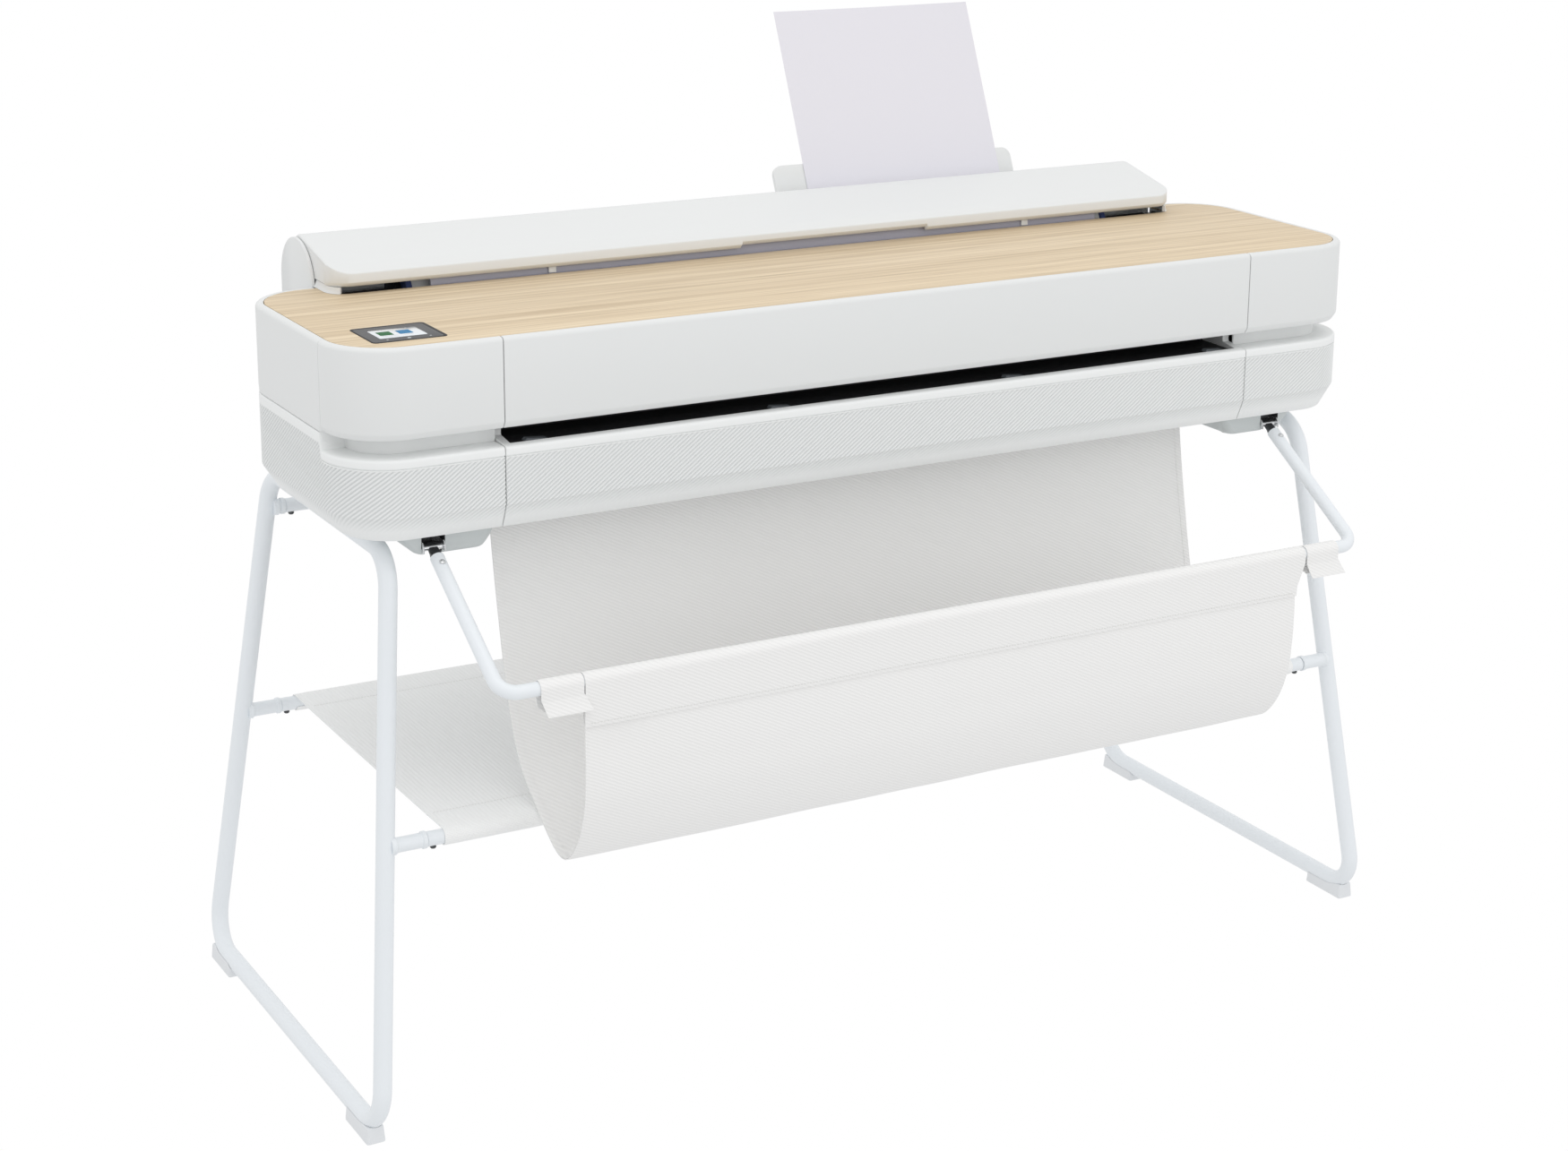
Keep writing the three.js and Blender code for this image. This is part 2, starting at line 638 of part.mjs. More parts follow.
/** Where the sheet's plane lies at a height, leaning back. */
function sheetY(z) {
  return HALF_DEPTH - 0.3 - (SHEET.topZ - z) * Math.tan(THREE.MathUtils.degToRad(SHEET.lean));
}

/** The fixed shell behind and under the roll: a trough, a lower duct and the round drum. */
function rearHousing() {
  const roofEdge = 202.4;
  const outline = [
    [89, BAY.topZ], [89, 805], [112, 776], [112, 641.6], [126, 641.6], [141, 655],
    [HOUSING_BACK, 742], [HOUSING_BACK, 785], [232, DRUM.bottom], [241.3, 800],
    ...drumArc(DRUM.radius, 77), [roofEdge, 877.5], [89, 877.5],
  ];
  const hollow = [
    [80, 806], [109, 770], [109, 644.6], [125, 644.6], [138.5, 656.5],
    [HOUSING_BACK - WALL, 743], [HOUSING_BACK - WALL, 788], [231, 793], [238.3, 801],
    ...drumArc(DRUM.radius - WALL, 70), [206, 850], [184, 835], [80, 835],
  ];
  const outer = alongX(outline, -CAP.outer, CAP.outer);
  const inside = alongX(hollow, -HOUSING_X + WALL, HOUSING_X - WALL);
  const shoulder = block(HOUSING_X, 600, 70, 400, DRUM.bottom - 0.5, 900);
  const traySlot = block(TRAY.x0 - 1, TRAY.x1 + 1, 218, 236, 845, 900);
  const inletHole = block(-521, -489, 190, 205, 749, 775);
  const ceiling = baySection(WALL, HOUSING_X + 30);
  return cut(
    outer,
    baySection(0, 590),
    inside.subtract(ceiling),
    shoulder,
    mirrored(shoulder),
    traySlot,
    inletHole,
    block(-590, 590, 70, BAY.rearY, BAY.topZ, 900),
  );
}

/** The round cap on each end of the drum: the spindle's cradle inside, the cover's pivot above. */
function bayCap() {
  const arch = [...drumArc(DRUM.radius, 180), [DRUM.y - DRUM.radius, DRUM.bottom + 12]];
  arch.push([DRUM.y - DRUM.radius + 12, DRUM.bottom], [DRUM.y + DRUM.radius - 9, DRUM.bottom]);
  arch.push([DRUM.y + DRUM.radius, DRUM.bottom + 10]);
  const face = alongX(arch, CAP.inner, CAP.outer);
  const cradle = block(CAP.seat, CAP.seat + 5, 122, 152, 795, BAY.z + 2);
  const link = block(CAP.seat, CAP.outer - 1, 143, 164, 800, BAY.z + 2);
  return cut(
    join(face, cradle, link),
    rodX(8.5, CAP.seat - 1, CAP.seat + 6, BAY.y, BAY.z, 20),
    rodX(3.5, CAP.inner - 1, CAP.outer - 1, LID.hingeY, LID.hingeZ, 16),
  );
}

/** The cover over the roll: a thin curved lid with end walls and two pivot pins. */
function rollCover() {
  const top = [
    [LID.y, LID.lipTop], [84, 860.2], [86.5, 861.6], [97, 864.9], [120, 870.2], [143, 875.3],
    [165, 880.3], [178, 883.2], [187, 884.9], [193, 884.9], [197.9, 882.6],
  ];
  const under = [
    [196, 880.6], [187, 881.8], [178, 880.2], [165, 877.3], [143, 872.3], [120, 867.2],
    [97, 861.8], [91, 859.5], [91, 849.5], [89, 847],
  ];
  const outline = [[87, LID.lipBottom], [LID.y, 848.5], ...top, ...under];
  const wall = [
    [88, LID.lipBottom], [LID.y + 2, 848.5], [LID.y + 2, 857], [105, 865.5], [125, 870.2], [145, 874.6],
    [165, 879], [180, 882.2], [190, 883.4], [192, 879], [190, 866], [184, 862], [165, 852], [150, LID.lipBottom],
  ];
  const end = alongX(wall, LID_HALF - WALL, LID_HALF - 0.2);
  const pin = rodX(3, LID_HALF - WALL, CAP.outer - 1.4, LID.hingeY, LID.hingeZ, 16);
  const shell = alongX(outline, -LID_HALF, LID_HALF);
  const notch = block(-60, 190, LID.y - 2, LID.y + 12, LID.lipBottom - 2, 847.5);
  return join(shell, end, mirrored(end), pin, mirrored(pin)).subtract(notch);
}

/** The spindle: a rod with a seat at each end. */
function spindle() {
  const rod = rodX(20, -470, 470, BAY.y, BAY.z, 24);
  return rod.add(rodX(8, -CAP.seat - 5, CAP.seat + 5, BAY.y, BAY.z, 16));
}

function paperRoll() {
  const whole = rodX(ROLL.radius, -ROLL.halfLength, ROLL.halfLength, BAY.y, BAY.z, 36);
  return whole.subtract(rodX(ROLL.core, -470, 470, BAY.y, BAY.z, 24));
}

/** The collar that centres the roll's core on the spindle. */
function rollHub() {
  const flange = rodX(35, ROLL.halfLength + GAP, ROLL.halfLength + 7, BAY.y, BAY.z, 32);
  const plug = rodX(ROLL.core - 0.6, ROLL.halfLength - 30, ROLL.halfLength + 2, BAY.y, BAY.z, 24);
  return flange.add(plug).subtract(rodX(20.4, 400, 480, BAY.y, BAY.z, 24));
}

/** The tray behind the cover that the loaded sheet leans on. */
function sheetTray() {
  const lean = THREE.MathUtils.degToRad(SHEET.lean);
  const length = (TRAY.topZ - TRAY.bottomZ) / Math.cos(lean);
  const shape = new THREE.Shape();
  const width = TRAY.x1 - TRAY.x0;
  const radius = 12;
  shape.moveTo(0, 0);
  shape.lineTo(width, 0);
  shape.lineTo(width, length - radius);
  shape.absarc(width - radius, length - radius, radius, 0, Math.PI / 2);
  shape.lineTo(radius, length);
  shape.absarc(radius, length - radius, radius, Math.PI / 2, Math.PI);
  const options = { depth: 6, bevelEnabled: false, curveSegments: 5 };
  const geometry = new THREE.ExtrudeGeometry(shape, options);
  const across = new THREE.Vector3(1, 0, 0);
  const up = new THREE.Vector3(0, Math.sin(lean), Math.cos(lean));
  const out = new THREE.Vector3().crossVectors(across, up);
  geometry.translate(0, 0, -6.9);
  geometry.applyMatrix4(new THREE.Matrix4().makeBasis(across, up, out));
  geometry.translate(TRAY.x0, sheetY(TRAY.bottomZ), TRAY.bottomZ);
  const bracket = alongX([
    [211, TRAY.bottomZ], [217, 842], [235.5, 842], [238, 832], [238, 826], [211, 826],
  ], TRAY.x0 + 12, TRAY.x1 - 12);
  return solid(geometry).add(bracket);
}

function loadedSheet() {
  const lean = THREE.MathUtils.degToRad(SHEET.lean);
  const half = 0.3;
  const bottomZ = SHEET.topZ - SHEET.length * Math.cos(lean);
  const back = half / Math.cos(lean);
  return alongX([
    [sheetY(bottomZ) - back, bottomZ], [sheetY(bottomZ) + back, bottomZ],
    [sheetY(SHEET.topZ) + back, SHEET.topZ], [sheetY(SHEET.topZ) - back, SHEET.topZ],
  ], SHEET.x - SHEET.width / 2, SHEET.x + SHEET.width / 2);
}

/** The smoked strip that guides paper off the roll, just under the cover's lip. */
function entryGuide() {
  return alongX([[93, 839], [96, 839], [99, 851], [97, 851]], -440, 440)
    .add(block(-440, 440, 93, 96.5, 829, 839.5));
}

function buildRollBay() {
  piece("rear_housing", rearHousing(), WHITE_CASING);
  pairOf("bay_end_cap", bayCap(), WHITE_CASING);
  piece("roll_cover", rollCover(), WHITE_CASING);
  piece("entry_guide", entryGuide(), GUIDE_BLUE);
  piece("roll_spindle", spindle(), DARK_PLASTIC);
  piece("paper_roll", paperRoll(), ROLL_PAPER);
  pairOf("roll_hub", rollHub(), HUB_BLUE);
  piece("sheet_tray", sheetTray(), WHITE_CASING);
  piece("loaded_sheet", loadedSheet(), PAPER);
}

// ---------------------------------------------------------------- inside the body

const PLATE_X = 600;
const FEED = { y: -25, z: 708, radius: 12, pinchRadius: 5 };

function feedRoller() {
  return rodX(FEED.radius, -500, 500, FEED.y, FEED.z, 28)
    .add(rodX(5, -PLATE_X - 1, PLATE_X + 1, FEED.y, FEED.z, 16));
}

function pinchRoller() {
  const z = FEED.z + FEED.radius + FEED.pinchRadius + 0.4;
  return rodX(FEED.pinchRadius, -500, 500, FEED.y, z, 16)
    .add(rodX(2.5, -PLATE_X - 1, PLATE_X + 1, FEED.y, z, 12));
}

/** A steel side plate with the bearing holes of both rollers. */
function sidePlate() {
  const plate = block(PLATE_X - 1.5, PLATE_X + 1.5, -116, 76, 642, 826);
  const pinchZ = FEED.z + FEED.radius + FEED.pinchRadius + 0.4;
  return cut(
    plate,
    rodX(5 + GAP, 590, 610, FEED.y, FEED.z, 16),
    rodX(2.5 + GAP, 590, 610, FEED.y, pinchZ, 12),
  );
}

/** The body's steel floor, with the channel below it that grips the basket's rear edge. */
function basePan() {
  const channel = block(-452, 452, -89, -75, 620, 640);
  const groove = block(-453, 453, -84, -80, 619, 631);
  return block(-PLATE_X, PLATE_X, -112, 104, 638.7, 641.2).add(channel).subtract(groove);
}

function carriage() {
  const shell = block(400, 486, -120, -64, 742, 800);
  const hook = block(406, 480, -66, -36, 790, 808);
  const channel = block(380, 500, -60, -40, 760, 803);
  const nozzles = block(420, 466, -112, -78, 736, 743);
  return join(shell, hook, nozzles).subtract(channel);
}

function buildInside() {
  piece("base_pan", basePan(), STEEL);
  pairOf("side_plate", sidePlate(), STEEL);
  piece("platen", block(-560, 560, -136, -42, 714, 720.5), DARK_PLASTIC);
  piece("feed_roller", feedRoller(), RUBBER);
  piece("pinch_roller", pinchRoller(), RUBBER);
  piece("carriage_rail", block(-PLATE_X + 2, PLATE_X - 2, -58, -43, 764, 801), ALUMINIUM);
  piece("print_carriage", carriage(), DARK_PLASTIC);
  piece("service_station", block(500, 590, -128, -48, 680, 713), DARK_PLASTIC);
  piece("power_inlet", block(-520.5, -489.5, 178, 197.5, 749.5, 774.5), DARK_PLASTIC);
  pairOf("ink_cartridge", block(520, 546, -160, -104, 752, 826), CARTRIDGE_GREY);
}

buildStand();
buildBasket();
buildCasings();
buildRollBay();
buildInside();

export default plotter;
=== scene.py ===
"""The plotter's visual model. Sizes here are in millimetres and become metres in piece()."""

import math

import bmesh
import bpy
from mathutils import Matrix, Vector, noise


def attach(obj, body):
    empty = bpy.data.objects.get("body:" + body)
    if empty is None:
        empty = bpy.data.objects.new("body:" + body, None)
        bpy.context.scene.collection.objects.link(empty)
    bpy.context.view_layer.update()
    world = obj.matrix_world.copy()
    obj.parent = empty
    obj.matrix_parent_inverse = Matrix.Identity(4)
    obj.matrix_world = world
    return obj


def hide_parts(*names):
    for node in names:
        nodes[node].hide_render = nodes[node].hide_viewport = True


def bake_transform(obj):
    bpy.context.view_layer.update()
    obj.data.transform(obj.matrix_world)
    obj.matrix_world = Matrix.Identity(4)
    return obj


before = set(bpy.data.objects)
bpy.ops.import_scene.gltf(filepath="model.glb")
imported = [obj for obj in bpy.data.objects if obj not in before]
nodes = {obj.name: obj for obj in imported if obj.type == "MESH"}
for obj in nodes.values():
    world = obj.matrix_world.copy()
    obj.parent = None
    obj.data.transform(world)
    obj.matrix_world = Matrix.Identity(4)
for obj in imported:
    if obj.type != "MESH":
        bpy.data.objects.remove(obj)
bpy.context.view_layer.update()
scene = bpy.context.scene

ROOT = "printer_and_stand"
SIDES = ("left", "right")

# ---------------------------------------------------------------- camera and light

cam_data = bpy.data.cameras.new("camera")
cam = bpy.data.objects.new("camera", cam_data)
scene.collection.objects.link(cam)
scene.camera = cam
cam_data.lens = 64.78
cam_data.shift_x = -0.0250
cam_data.shift_y = -0.0740
view = Vector((0.48095, 0.83525, -0.26654)).normalized()
right = view.cross(Vector((0, 0, 1))).normalized()
up = right.cross(view)
pose = Matrix((right, up, -view)).transposed().to_4x4()
pose = pose @ Matrix.Rotation(math.radians(0.629), 4, "Z")
pose.translation = Vector((-1.57057, -2.73137, 1.47663))
cam.matrix_world = pose
scene.view_settings.view_transform = "Standard"
scene.view_settings.look = "None"
scene.view_settings.exposure = 0.0


def add_node(tree, kind, values=None, **settings):
    """A shader node with its settings made and then its input values."""
    node = tree.nodes.new(f"ShaderNode{kind}")
    for name, value in settings.items():
        setattr(node, name, value)
    for name, value in (values or {}).items():
        node.inputs[name].default_value = value
    return node


def join(tree, wires):
    """Links nodes: each wire is (from node, output, to node, input)."""
    for source, output, target, socket in wires:
        tree.links.new(source.outputs[output], target.inputs[socket])


def add_ramp(tree, stops):
    """A colour ramp through (position, colour) stops."""
    ramp = add_node(tree, "ValToRGB")
    elements = ramp.color_ramp.elements
    for i, (position, color) in enumerate(stops):
        element = elements[i] if i < 2 else elements.new(position)
        element.position = position
        element.color = (*color, 1)
    return ramp


SKY = [(0.0, (0.77, 0.774, 0.778)), (0.5, (0.835, 0.837, 0.841)), (1.0, (0.98, 0.98, 0.98))]


def build_world():
    """Pure white for the camera; a soft box, brighter above than below, for everything else."""
    world = bpy.data.worlds.new("studio")
    scene.world = world
    world.use_nodes = True
    tree = world.node_tree
    tree.nodes.clear()
    out = add_node(tree, "OutputWorld")
    lit = add_node(tree, "Background")
    seen = add_node(tree, "Background", {"Color": (1, 1, 1, 1)})
    mix = add_node(tree, "MixShader")
    path = add_node(tree, "LightPath")
    coord = add_node(tree, "TexCoord")
    split = add_node(tree, "SeparateXYZ")
    spread = add_node(tree, "MapRange", {"From Min": -1.0, "From Max": 1.0})
    ramp = add_ramp(tree, SKY)
    join(tree, (
        (coord, "Generated", split, 0),
        (split, "Z", spread, "Value"),
        (spread, "Result", ramp, "Fac"),
        (ramp, "Color", lit, "Color"),
        (path, "Is Camera Ray", mix, "Fac"),
        (lit, 0, mix, 1),
        (seen, 0, mix, 2),
        (mix, 0, out, "Surface"),
    ))


def add_area(name, place, aim, size, power):
    """A round lamp that points at a place."""
    data = bpy.data.lights.new(name, "AREA")
    data.shape = "DISK"
    data.size = size
    data.energy = power
    light = bpy.data.objects.new(name, data)
    scene.collection.objects.link(light)
    light.location = place
    light.rotation_euler = (Vector(aim) - Vector(place)).to_track_quat("-Z", "Y").to_euler()


build_world()
add_area("key_above", (-0.6, -0.8, 3.2), (0, 0, 0.7), 2.0, 7)
add_area("front_fill", (0.8, -3.2, 1.4), (0, 0, 0.6), 2.2, 6)

# ---------------------------------------------------------------- materials

DRIFT_SCALE = 3.0
GRAIN_SCALE = 600.0
ROUGH_SPREAD = 0.05


def new_material(name, color, rough, metal=0.0, vary=0.02, bump=0.02, coat=0.0):
    """A surface whose colour and roughness drift a little, with a fine moulded or painted grain."""
    mat = bpy.data.materials.new(name)
    mat.use_nodes = True
    tree = mat.node_tree
    shader = tree.nodes["Principled BSDF"]
    shader.inputs["Metallic"].default_value = metal
    shader.inputs["Coat Weight"].default_value = coat
    low = [max(0.0, c * (1 - vary)) for c in color]
    high = [min(1.0, c * (1 + vary)) for c in color]
    smooth = max(0.03, rough - ROUGH_SPREAD)
    dull = min(1.0, rough + ROUGH_SPREAD)
    coord = add_node(tree, "TexCoord")
    drift = add_node(tree, "TexNoise", {"Scale": DRIFT_SCALE, "Detail": 3.0})
    tint = add_node(tree, "Mix", {"A": (*low, 1), "B": (*high, 1)}, data_type="RGBA")
    gloss = add_node(tree, "MapRange", {"To Min": smooth, "To Max": dull})
    grain = add_node(tree, "TexNoise", {"Scale": GRAIN_SCALE, "Detail": 2.0})
    relief = add_node(tree, "Bump", {"Strength": bump, "Distance": 0.0006})
    join(tree, (
        (coord, "Object", drift, "Vector"),
        (coord, "Object", grain, "Vector"),
        (drift, "Fac", tint, "Factor"),
        (tint, "Result", shader, "Base Color"),
        (drift, "Fac", gloss, "Value"),
        (gloss, "Result", shader, "Roughness"),
        (grain, "Fac", relief, "Height"),
        (relief, "Normal", shader, "Normal"),
    ))
    return mat


OAK_TONES = [(0.30, (0.63, 0.49, 0.315)), (0.72, (0.85, 0.705, 0.50))]
OAK_PORES = [(0.34, (0.72, 0.68, 0.62)), (0.50, (1, 1, 1))]


def wood_material():
    """Light oak: long streaks of grain along X, fine pores and a slow change of tone."""
    mat = new_material("oak", (0.75, 0.60, 0.40), 0.5, bump=0.0)
    tree = mat.node_tree
    shader = tree.nodes["Principled BSDF"]
    coord = add_node(tree, "TexCoord")

    def streaks(stretch, detail, distortion):
        place = add_node(tree, "Mapping", {"Scale": stretch})
        texture = add_node(tree, "TexNoise", {"Scale": 1.0, "Detail": detail, "Distortion": distortion})
        join(tree, (
            (coord, "Object", place, "Vector"),
            (place, "Vector", texture, "Vector"),
        ))
        return texture

    broad = streaks((1.5, 135.0, 1.0), 6.0, 0.5)
    fine = streaks((7.0, 380.0, 1.0), 3.0, 0.2)
    tones = add_ramp(tree, OAK_TONES)
    pores = add_ramp(tree, OAK_PORES)
    multiply = add_node(tree, "Mix", {"Factor": 0.55}, data_type="RGBA", blend_type="MULTIPLY")
    relief = add_node(tree, "Bump", {"Strength": 0.10, "Distance": 0.0005})
    join(tree, (
        (broad, "Fac", tones, "Fac"),
        (fine, "Fac", pores, "Fac"),
        (tones, "Color", multiply, "A"),
        (pores, "Color", multiply, "B"),
        (multiply, "Result", shader, "Base Color"),
        (fine, "Fac", relief, "Height"),
        (relief, "Normal", shader, "Normal"),
    ))
    return mat


TWILL_ANGLE = math.radians(-27)
THREAD_SCALE = 900.0


def fabric_material(name, color, pitch, contrast):
    """Woven cloth: diagonal twill cords, a pitch apart in millimetres, crossed by finer threads."""
    mat = new_material(name, color, 0.9, bump=0.0)
    tree = mat.node_tree
    shader = tree.nodes["Principled BSDF"]
    shader.inputs["Sheen Weight"].default_value = 0.25
    dark = [c * (1 - contrast) for c in color]
    coord = add_node(tree, "TexCoord")
    turn = add_node(tree, "Mapping", {"Rotation": (0.0, TWILL_ANGLE, 0.0)})
    weave = {"Scale": 0.314 / (pitch * 0.001), "Distortion": 0.6, "Detail": 1.0}
    cords = add_node(tree, "TexWave", weave, wave_type="BANDS", bands_direction="Z")
    threads = add_node(tree, "TexNoise", {"Scale": THREAD_SCALE})
    mix = add_node(tree, "Mix", {"A": (*dark, 1), "B": (*color, 1)}, data_type="RGBA")
    both = add_node(tree, "Math", operation="MULTIPLY_ADD")
    both.inputs[1].default_value = 0.35
    relief = add_node(tree, "Bump", {"Strength": 0.35, "Distance": 0.0008})
    join(tree, (
        (coord, "Object", turn, "Vector"),
        (turn, "Vector", cords, "Vector"),
        (coord, "Object", threads, "Vector"),
        (cords, "Fac", mix, "Factor"),
        (mix, "Result", shader, "Base Color"),
        (threads, "Fac", both, 0),
        (cords, "Fac", both, 2),
        (both, 0, relief, "Height"),
        (relief, "Normal", shader, "Normal"),
    ))
    return mat


MATERIALS = {
    "casing_white": new_material("satin_white", (0.80, 0.812, 0.808), 0.38, vary=0.006, bump=0.03),
    "frame_paint": new_material("frame_paint", (0.85, 0.885, 0.915), 0.35, vary=0.008, bump=0.01),
    "foot_plastic": new_material("foot_plastic", (0.80, 0.82, 0.84), 0.55, vary=0.01, bump=0.06),
    "oak_panel": wood_material(),
    "basket_fabric": fabric_material("twill_fabric", (0.93, 0.925, 0.915), 3.4, 0.06),
    "dark_plastic": new_material("dark_plastic", (0.018, 0.018, 0.02), 0.6, vary=0.15, bump=0.08),
    "bezel_grey": new_material("bezel_grey", (0.062, 0.062, 0.066), 0.42, vary=0.08, bump=0.03),
    "screen": new_material("screen_glass", (0.82, 0.86, 0.90), 0.12, vary=0.02, bump=0.0, coat=0.6),
    "hinge_grey": new_material("hinge_grey", (0.60, 0.635, 0.635), 0.5, vary=0.02, bump=0.06),
    "rubber": new_material("rubber", (0.012, 0.012, 0.012), 0.85, vary=0.2, bump=0.2),
    "dark_steel": new_material("dark_steel", (0.12, 0.125, 0.13), 0.4, metal=0.8, vary=0.06),
    "sheet_steel": new_material("sheet_steel", (0.62, 0.63, 0.64), 0.35, metal=0.9, vary=0.04),
    "aluminium": new_material("aluminium", (0.66, 0.68, 0.70), 0.38, metal=0.85, vary=0.03),
    "sheet_paper": new_material("sheet_paper", (0.80, 0.79, 0.845), 0.9, vary=0.008, bump=0.10),
    "roll_paper": new_material("roll_paper", (0.86, 0.86, 0.85), 0.9, vary=0.01, bump=0.10),
    "hub_blue": new_material("hub_blue", (0.05, 0.08, 0.24), 0.5, vary=0.05, bump=0.04),
    "smoked_guide": new_material("smoked_guide", (0.40, 0.40, 0.48), 0.25, vary=0.05, bump=0.0),
    "cartridge_grey": new_material("cartridge_grey", (0.09, 0.10, 0.11), 0.5, vary=0.08),
}
# Lighter than the basket cloth to make up for the shade the shelf sits in under the machine: painted light.
SHELF_CLOTH_PAINTED_LIGHT = fabric_material("shelf_fabric_painted_light", (0.965, 0.97, 0.965), 2.2, 0.03)
# A copy of the casing white made lighter, so the rib crests carry painted light; its grooves are darkened
# with painted shade.
RIBBED_LIT_AND_SHADED = new_material("ribbed_white_lit_and_shaded", (0.885, 0.898, 0.893), 0.42, vary=0.006, bump=0.02)
TILE_GREEN = new_material("tile_green", (0.005, 0.13, 0.03), 0.6, bump=0.0)
TILE_BLUE = new_material("tile_blue", (0.02, 0.20, 0.42), 0.6, bump=0.0)
THREAD = new_material("stitch_thread", (0.80, 0.80, 0.78), 0.9, bump=0.3)
CHROME = new_material("bright_steel", (0.75, 0.76, 0.77), 0.2, metal=0.95, vary=0.04)

# ---------------------------------------------------------------- mesh helpers


def mesh_object(name, verts, faces, mat):
    """An object from points in millimetres."""
    mesh = bpy.data.meshes.new(name)
    mesh.from_pydata([(x * 0.001, y * 0.001, z * 0.001) for x, y, z in verts], [], faces)
    mesh.materials.append(mat)
    obj = bpy.data.objects.new(name, mesh)
    scene.collection.objects.link(obj)
    return obj


def smooth_below(mesh, degrees, clean=True):
    """Shades a mesh smooth where its faces meet at less than an angle, and welds it when asked."""
    work = bmesh.new()
    work.from_mesh(mesh)
    if clean:
        bmesh.ops.remove_doubles(work, verts=work.verts, dist=1e-6)
        bmesh.ops.recalc_face_normals(work, faces=work.faces)
    for edge in work.edges:
        if len(edge.link_faces) == 2:
            edge.smooth = edge.calc_face_angle(0.0) < math.radians(degrees)
    for face in work.faces:
        face.smooth = True
    work.to_mesh(mesh)
    work.free()


def piece(name, verts, faces, slot, body=ROOT, stands_for=(), sharp=38, mat=None, ride=True):
    """A finished piece: its mesh, the body it rides on and the CAD nodes it stands for."""
    obj = mesh_object(name, verts, faces, mat or MATERIALS[slot])
    smooth_below(obj.data, sharp)
    if ride:
        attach(obj, body)
    if stands_for:
        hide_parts(*stands_for)
    return obj


def attached(parent, name, part, slot, body=ROOT, **options):
    """A piece that is carried by another piece."""
    obj = piece(name, *part, slot, body, ride=False, **options)
    obj.parent = parent
    return obj


def grid(rows, wrap_rows=False, wrap_columns=False, cap=False):
    """Points and faces over rows of points; caps close the first and last row."""
    wide = len(rows[0])
    verts = [point for row in rows for point in row]
    faces = []
    last_row = len(rows) if wrap_rows else len(rows) - 1
    last_column = wide if wrap_columns else wide - 1
    for i in range(last_row):
        here = i * wide
        there = ((i + 1) % len(rows)) * wide
        for j in range(last_column):
            k = (j + 1) % wide
            faces.append((here + j, here + k, there + k, there + j))
    if cap:
        faces.append(tuple(range(wide)))
        start = (len(rows) - 1) * wide
        faces.append(tuple(range(start + wide - 1, start - 1, -1)))
    return verts, faces


def solid(rows):
    """A closed solid over rows of points that each go all the way round."""
    return grid(rows, wrap_columns=True, cap=True)


def shrink(section, amount):
    """A closed 2-D outline moved inwards."""
    area = 0.0
    count = len(section)
    for i in range(count):
        (a, b), (c, d) = section[i], section[(i + 1) % count]
        area += a * d - b * c
    sign = 1 if area > 0 else -1
    out = []
    for i in range(count):
        before, here, after = section[i - 1], section[i], section[(i + 1) % count]
        e1 = Vector((here[0] - before[0], here[1] - before[1])).normalized()
        e2 = Vector((after[0] - here[0], after[1] - here[1])).normalized()
        n = Vector((-(e1.y + e2.y), e1.x + e2.x)) * sign
        if n.length < 1e-6:
            out.append(here)
            continue
        n.normalize()
        out.append((here[0] + n.x * amount, here[1] + n.y * amount))
    return out


def along_x(section, x0, x1, bevel=0.5, steps=1):
    """A closed [y, z] outline carried along X, with its end edges eased."""
    shrunk = shrink(section, bevel)
    xs = [x0 + (x1 - x0) * i / steps for i in range(steps + 1)]
    xs[0] += bevel
    xs[-1] -= bevel
    rows = [[(x0, y, z) for y, z in shrunk]]
    rows += [[(x, y, z) for y, z in section] for x in xs]
    rows.append([(x1, y, z) for y, z in shrunk])
    return solid(rows)


def prism(outline, z0, z1, top=0.8, bottom=0.4):
    """A closed [x, y] outline carried up, with eased top and bottom edges."""
    rows = [[(x, y, z0) for x, y in shrink(outline, bottom)]]
    rows.append([(x, y, z0 + bottom) for x, y in outline])
    for share in (0.0, 0.35, 0.7, 1.0):
        angle = share * math.pi / 2
        inwards = top * (1 - math.cos(angle))
        height = z1 - top + top * math.sin(angle)
        rows.append([(x, y, height) for x, y in shrink(outline, inwards + 1e-4)])
    return solid(rows)


def stacked(layers):
    """A solid through [x, y] outlines at rising heights: layers are (height, outline)."""
    return solid([[(x, y, z) for x, y in outline] for z, outline in layers])


def round_rect(x0, x1, y0, y1, radius, steps=6):
    """A rectangle's [x, y] outline with round corners."""
    points = []
    corners = [(x1 - radius, y1 - radius), (x0 + radius, y1 - radius)]
    corners += [(x0 + radius, y0 + radius), (x1 - radius, y0 + radius)]
    for quarter, (cx, cy) in enumerate(corners):
        for step in range(steps + 1):
            angle = (quarter + step / steps) * math.pi / 2
            points.append((cx + radius * math.cos(angle), cy + radius * math.sin(angle)))
    return points


def circle_rows(centres, radii, axis, sides):
    """Rings round an axis direction at each centre."""
    axis = Vector(axis).normalized()
    side = axis.orthogonal().normalized()
    other = axis.cross(side)
    rows = []
    for centre, radius in zip(centres, radii):
        ring = []
        for i in range(sides):
            angle = 2 * math.pi * i / sides
            point = Vector(centre) + (side * math.cos(angle) + other * math.sin(angle)) * radius
            ring.append(tuple(point))
        rows.append(ring)
    return rows


def turned(profile, origin, axis, sides=32):
    """A solid of revolution: profile is [(distance along the axis, radius)]."""
    axis = Vector(axis).normalized()
    centres = [Vector(origin) + axis * distance for distance, _ in profile]
    radii = [max(radius, 0.02) for _, radius in profile]
    return solid(circle_rows(centres, radii, axis, sides))


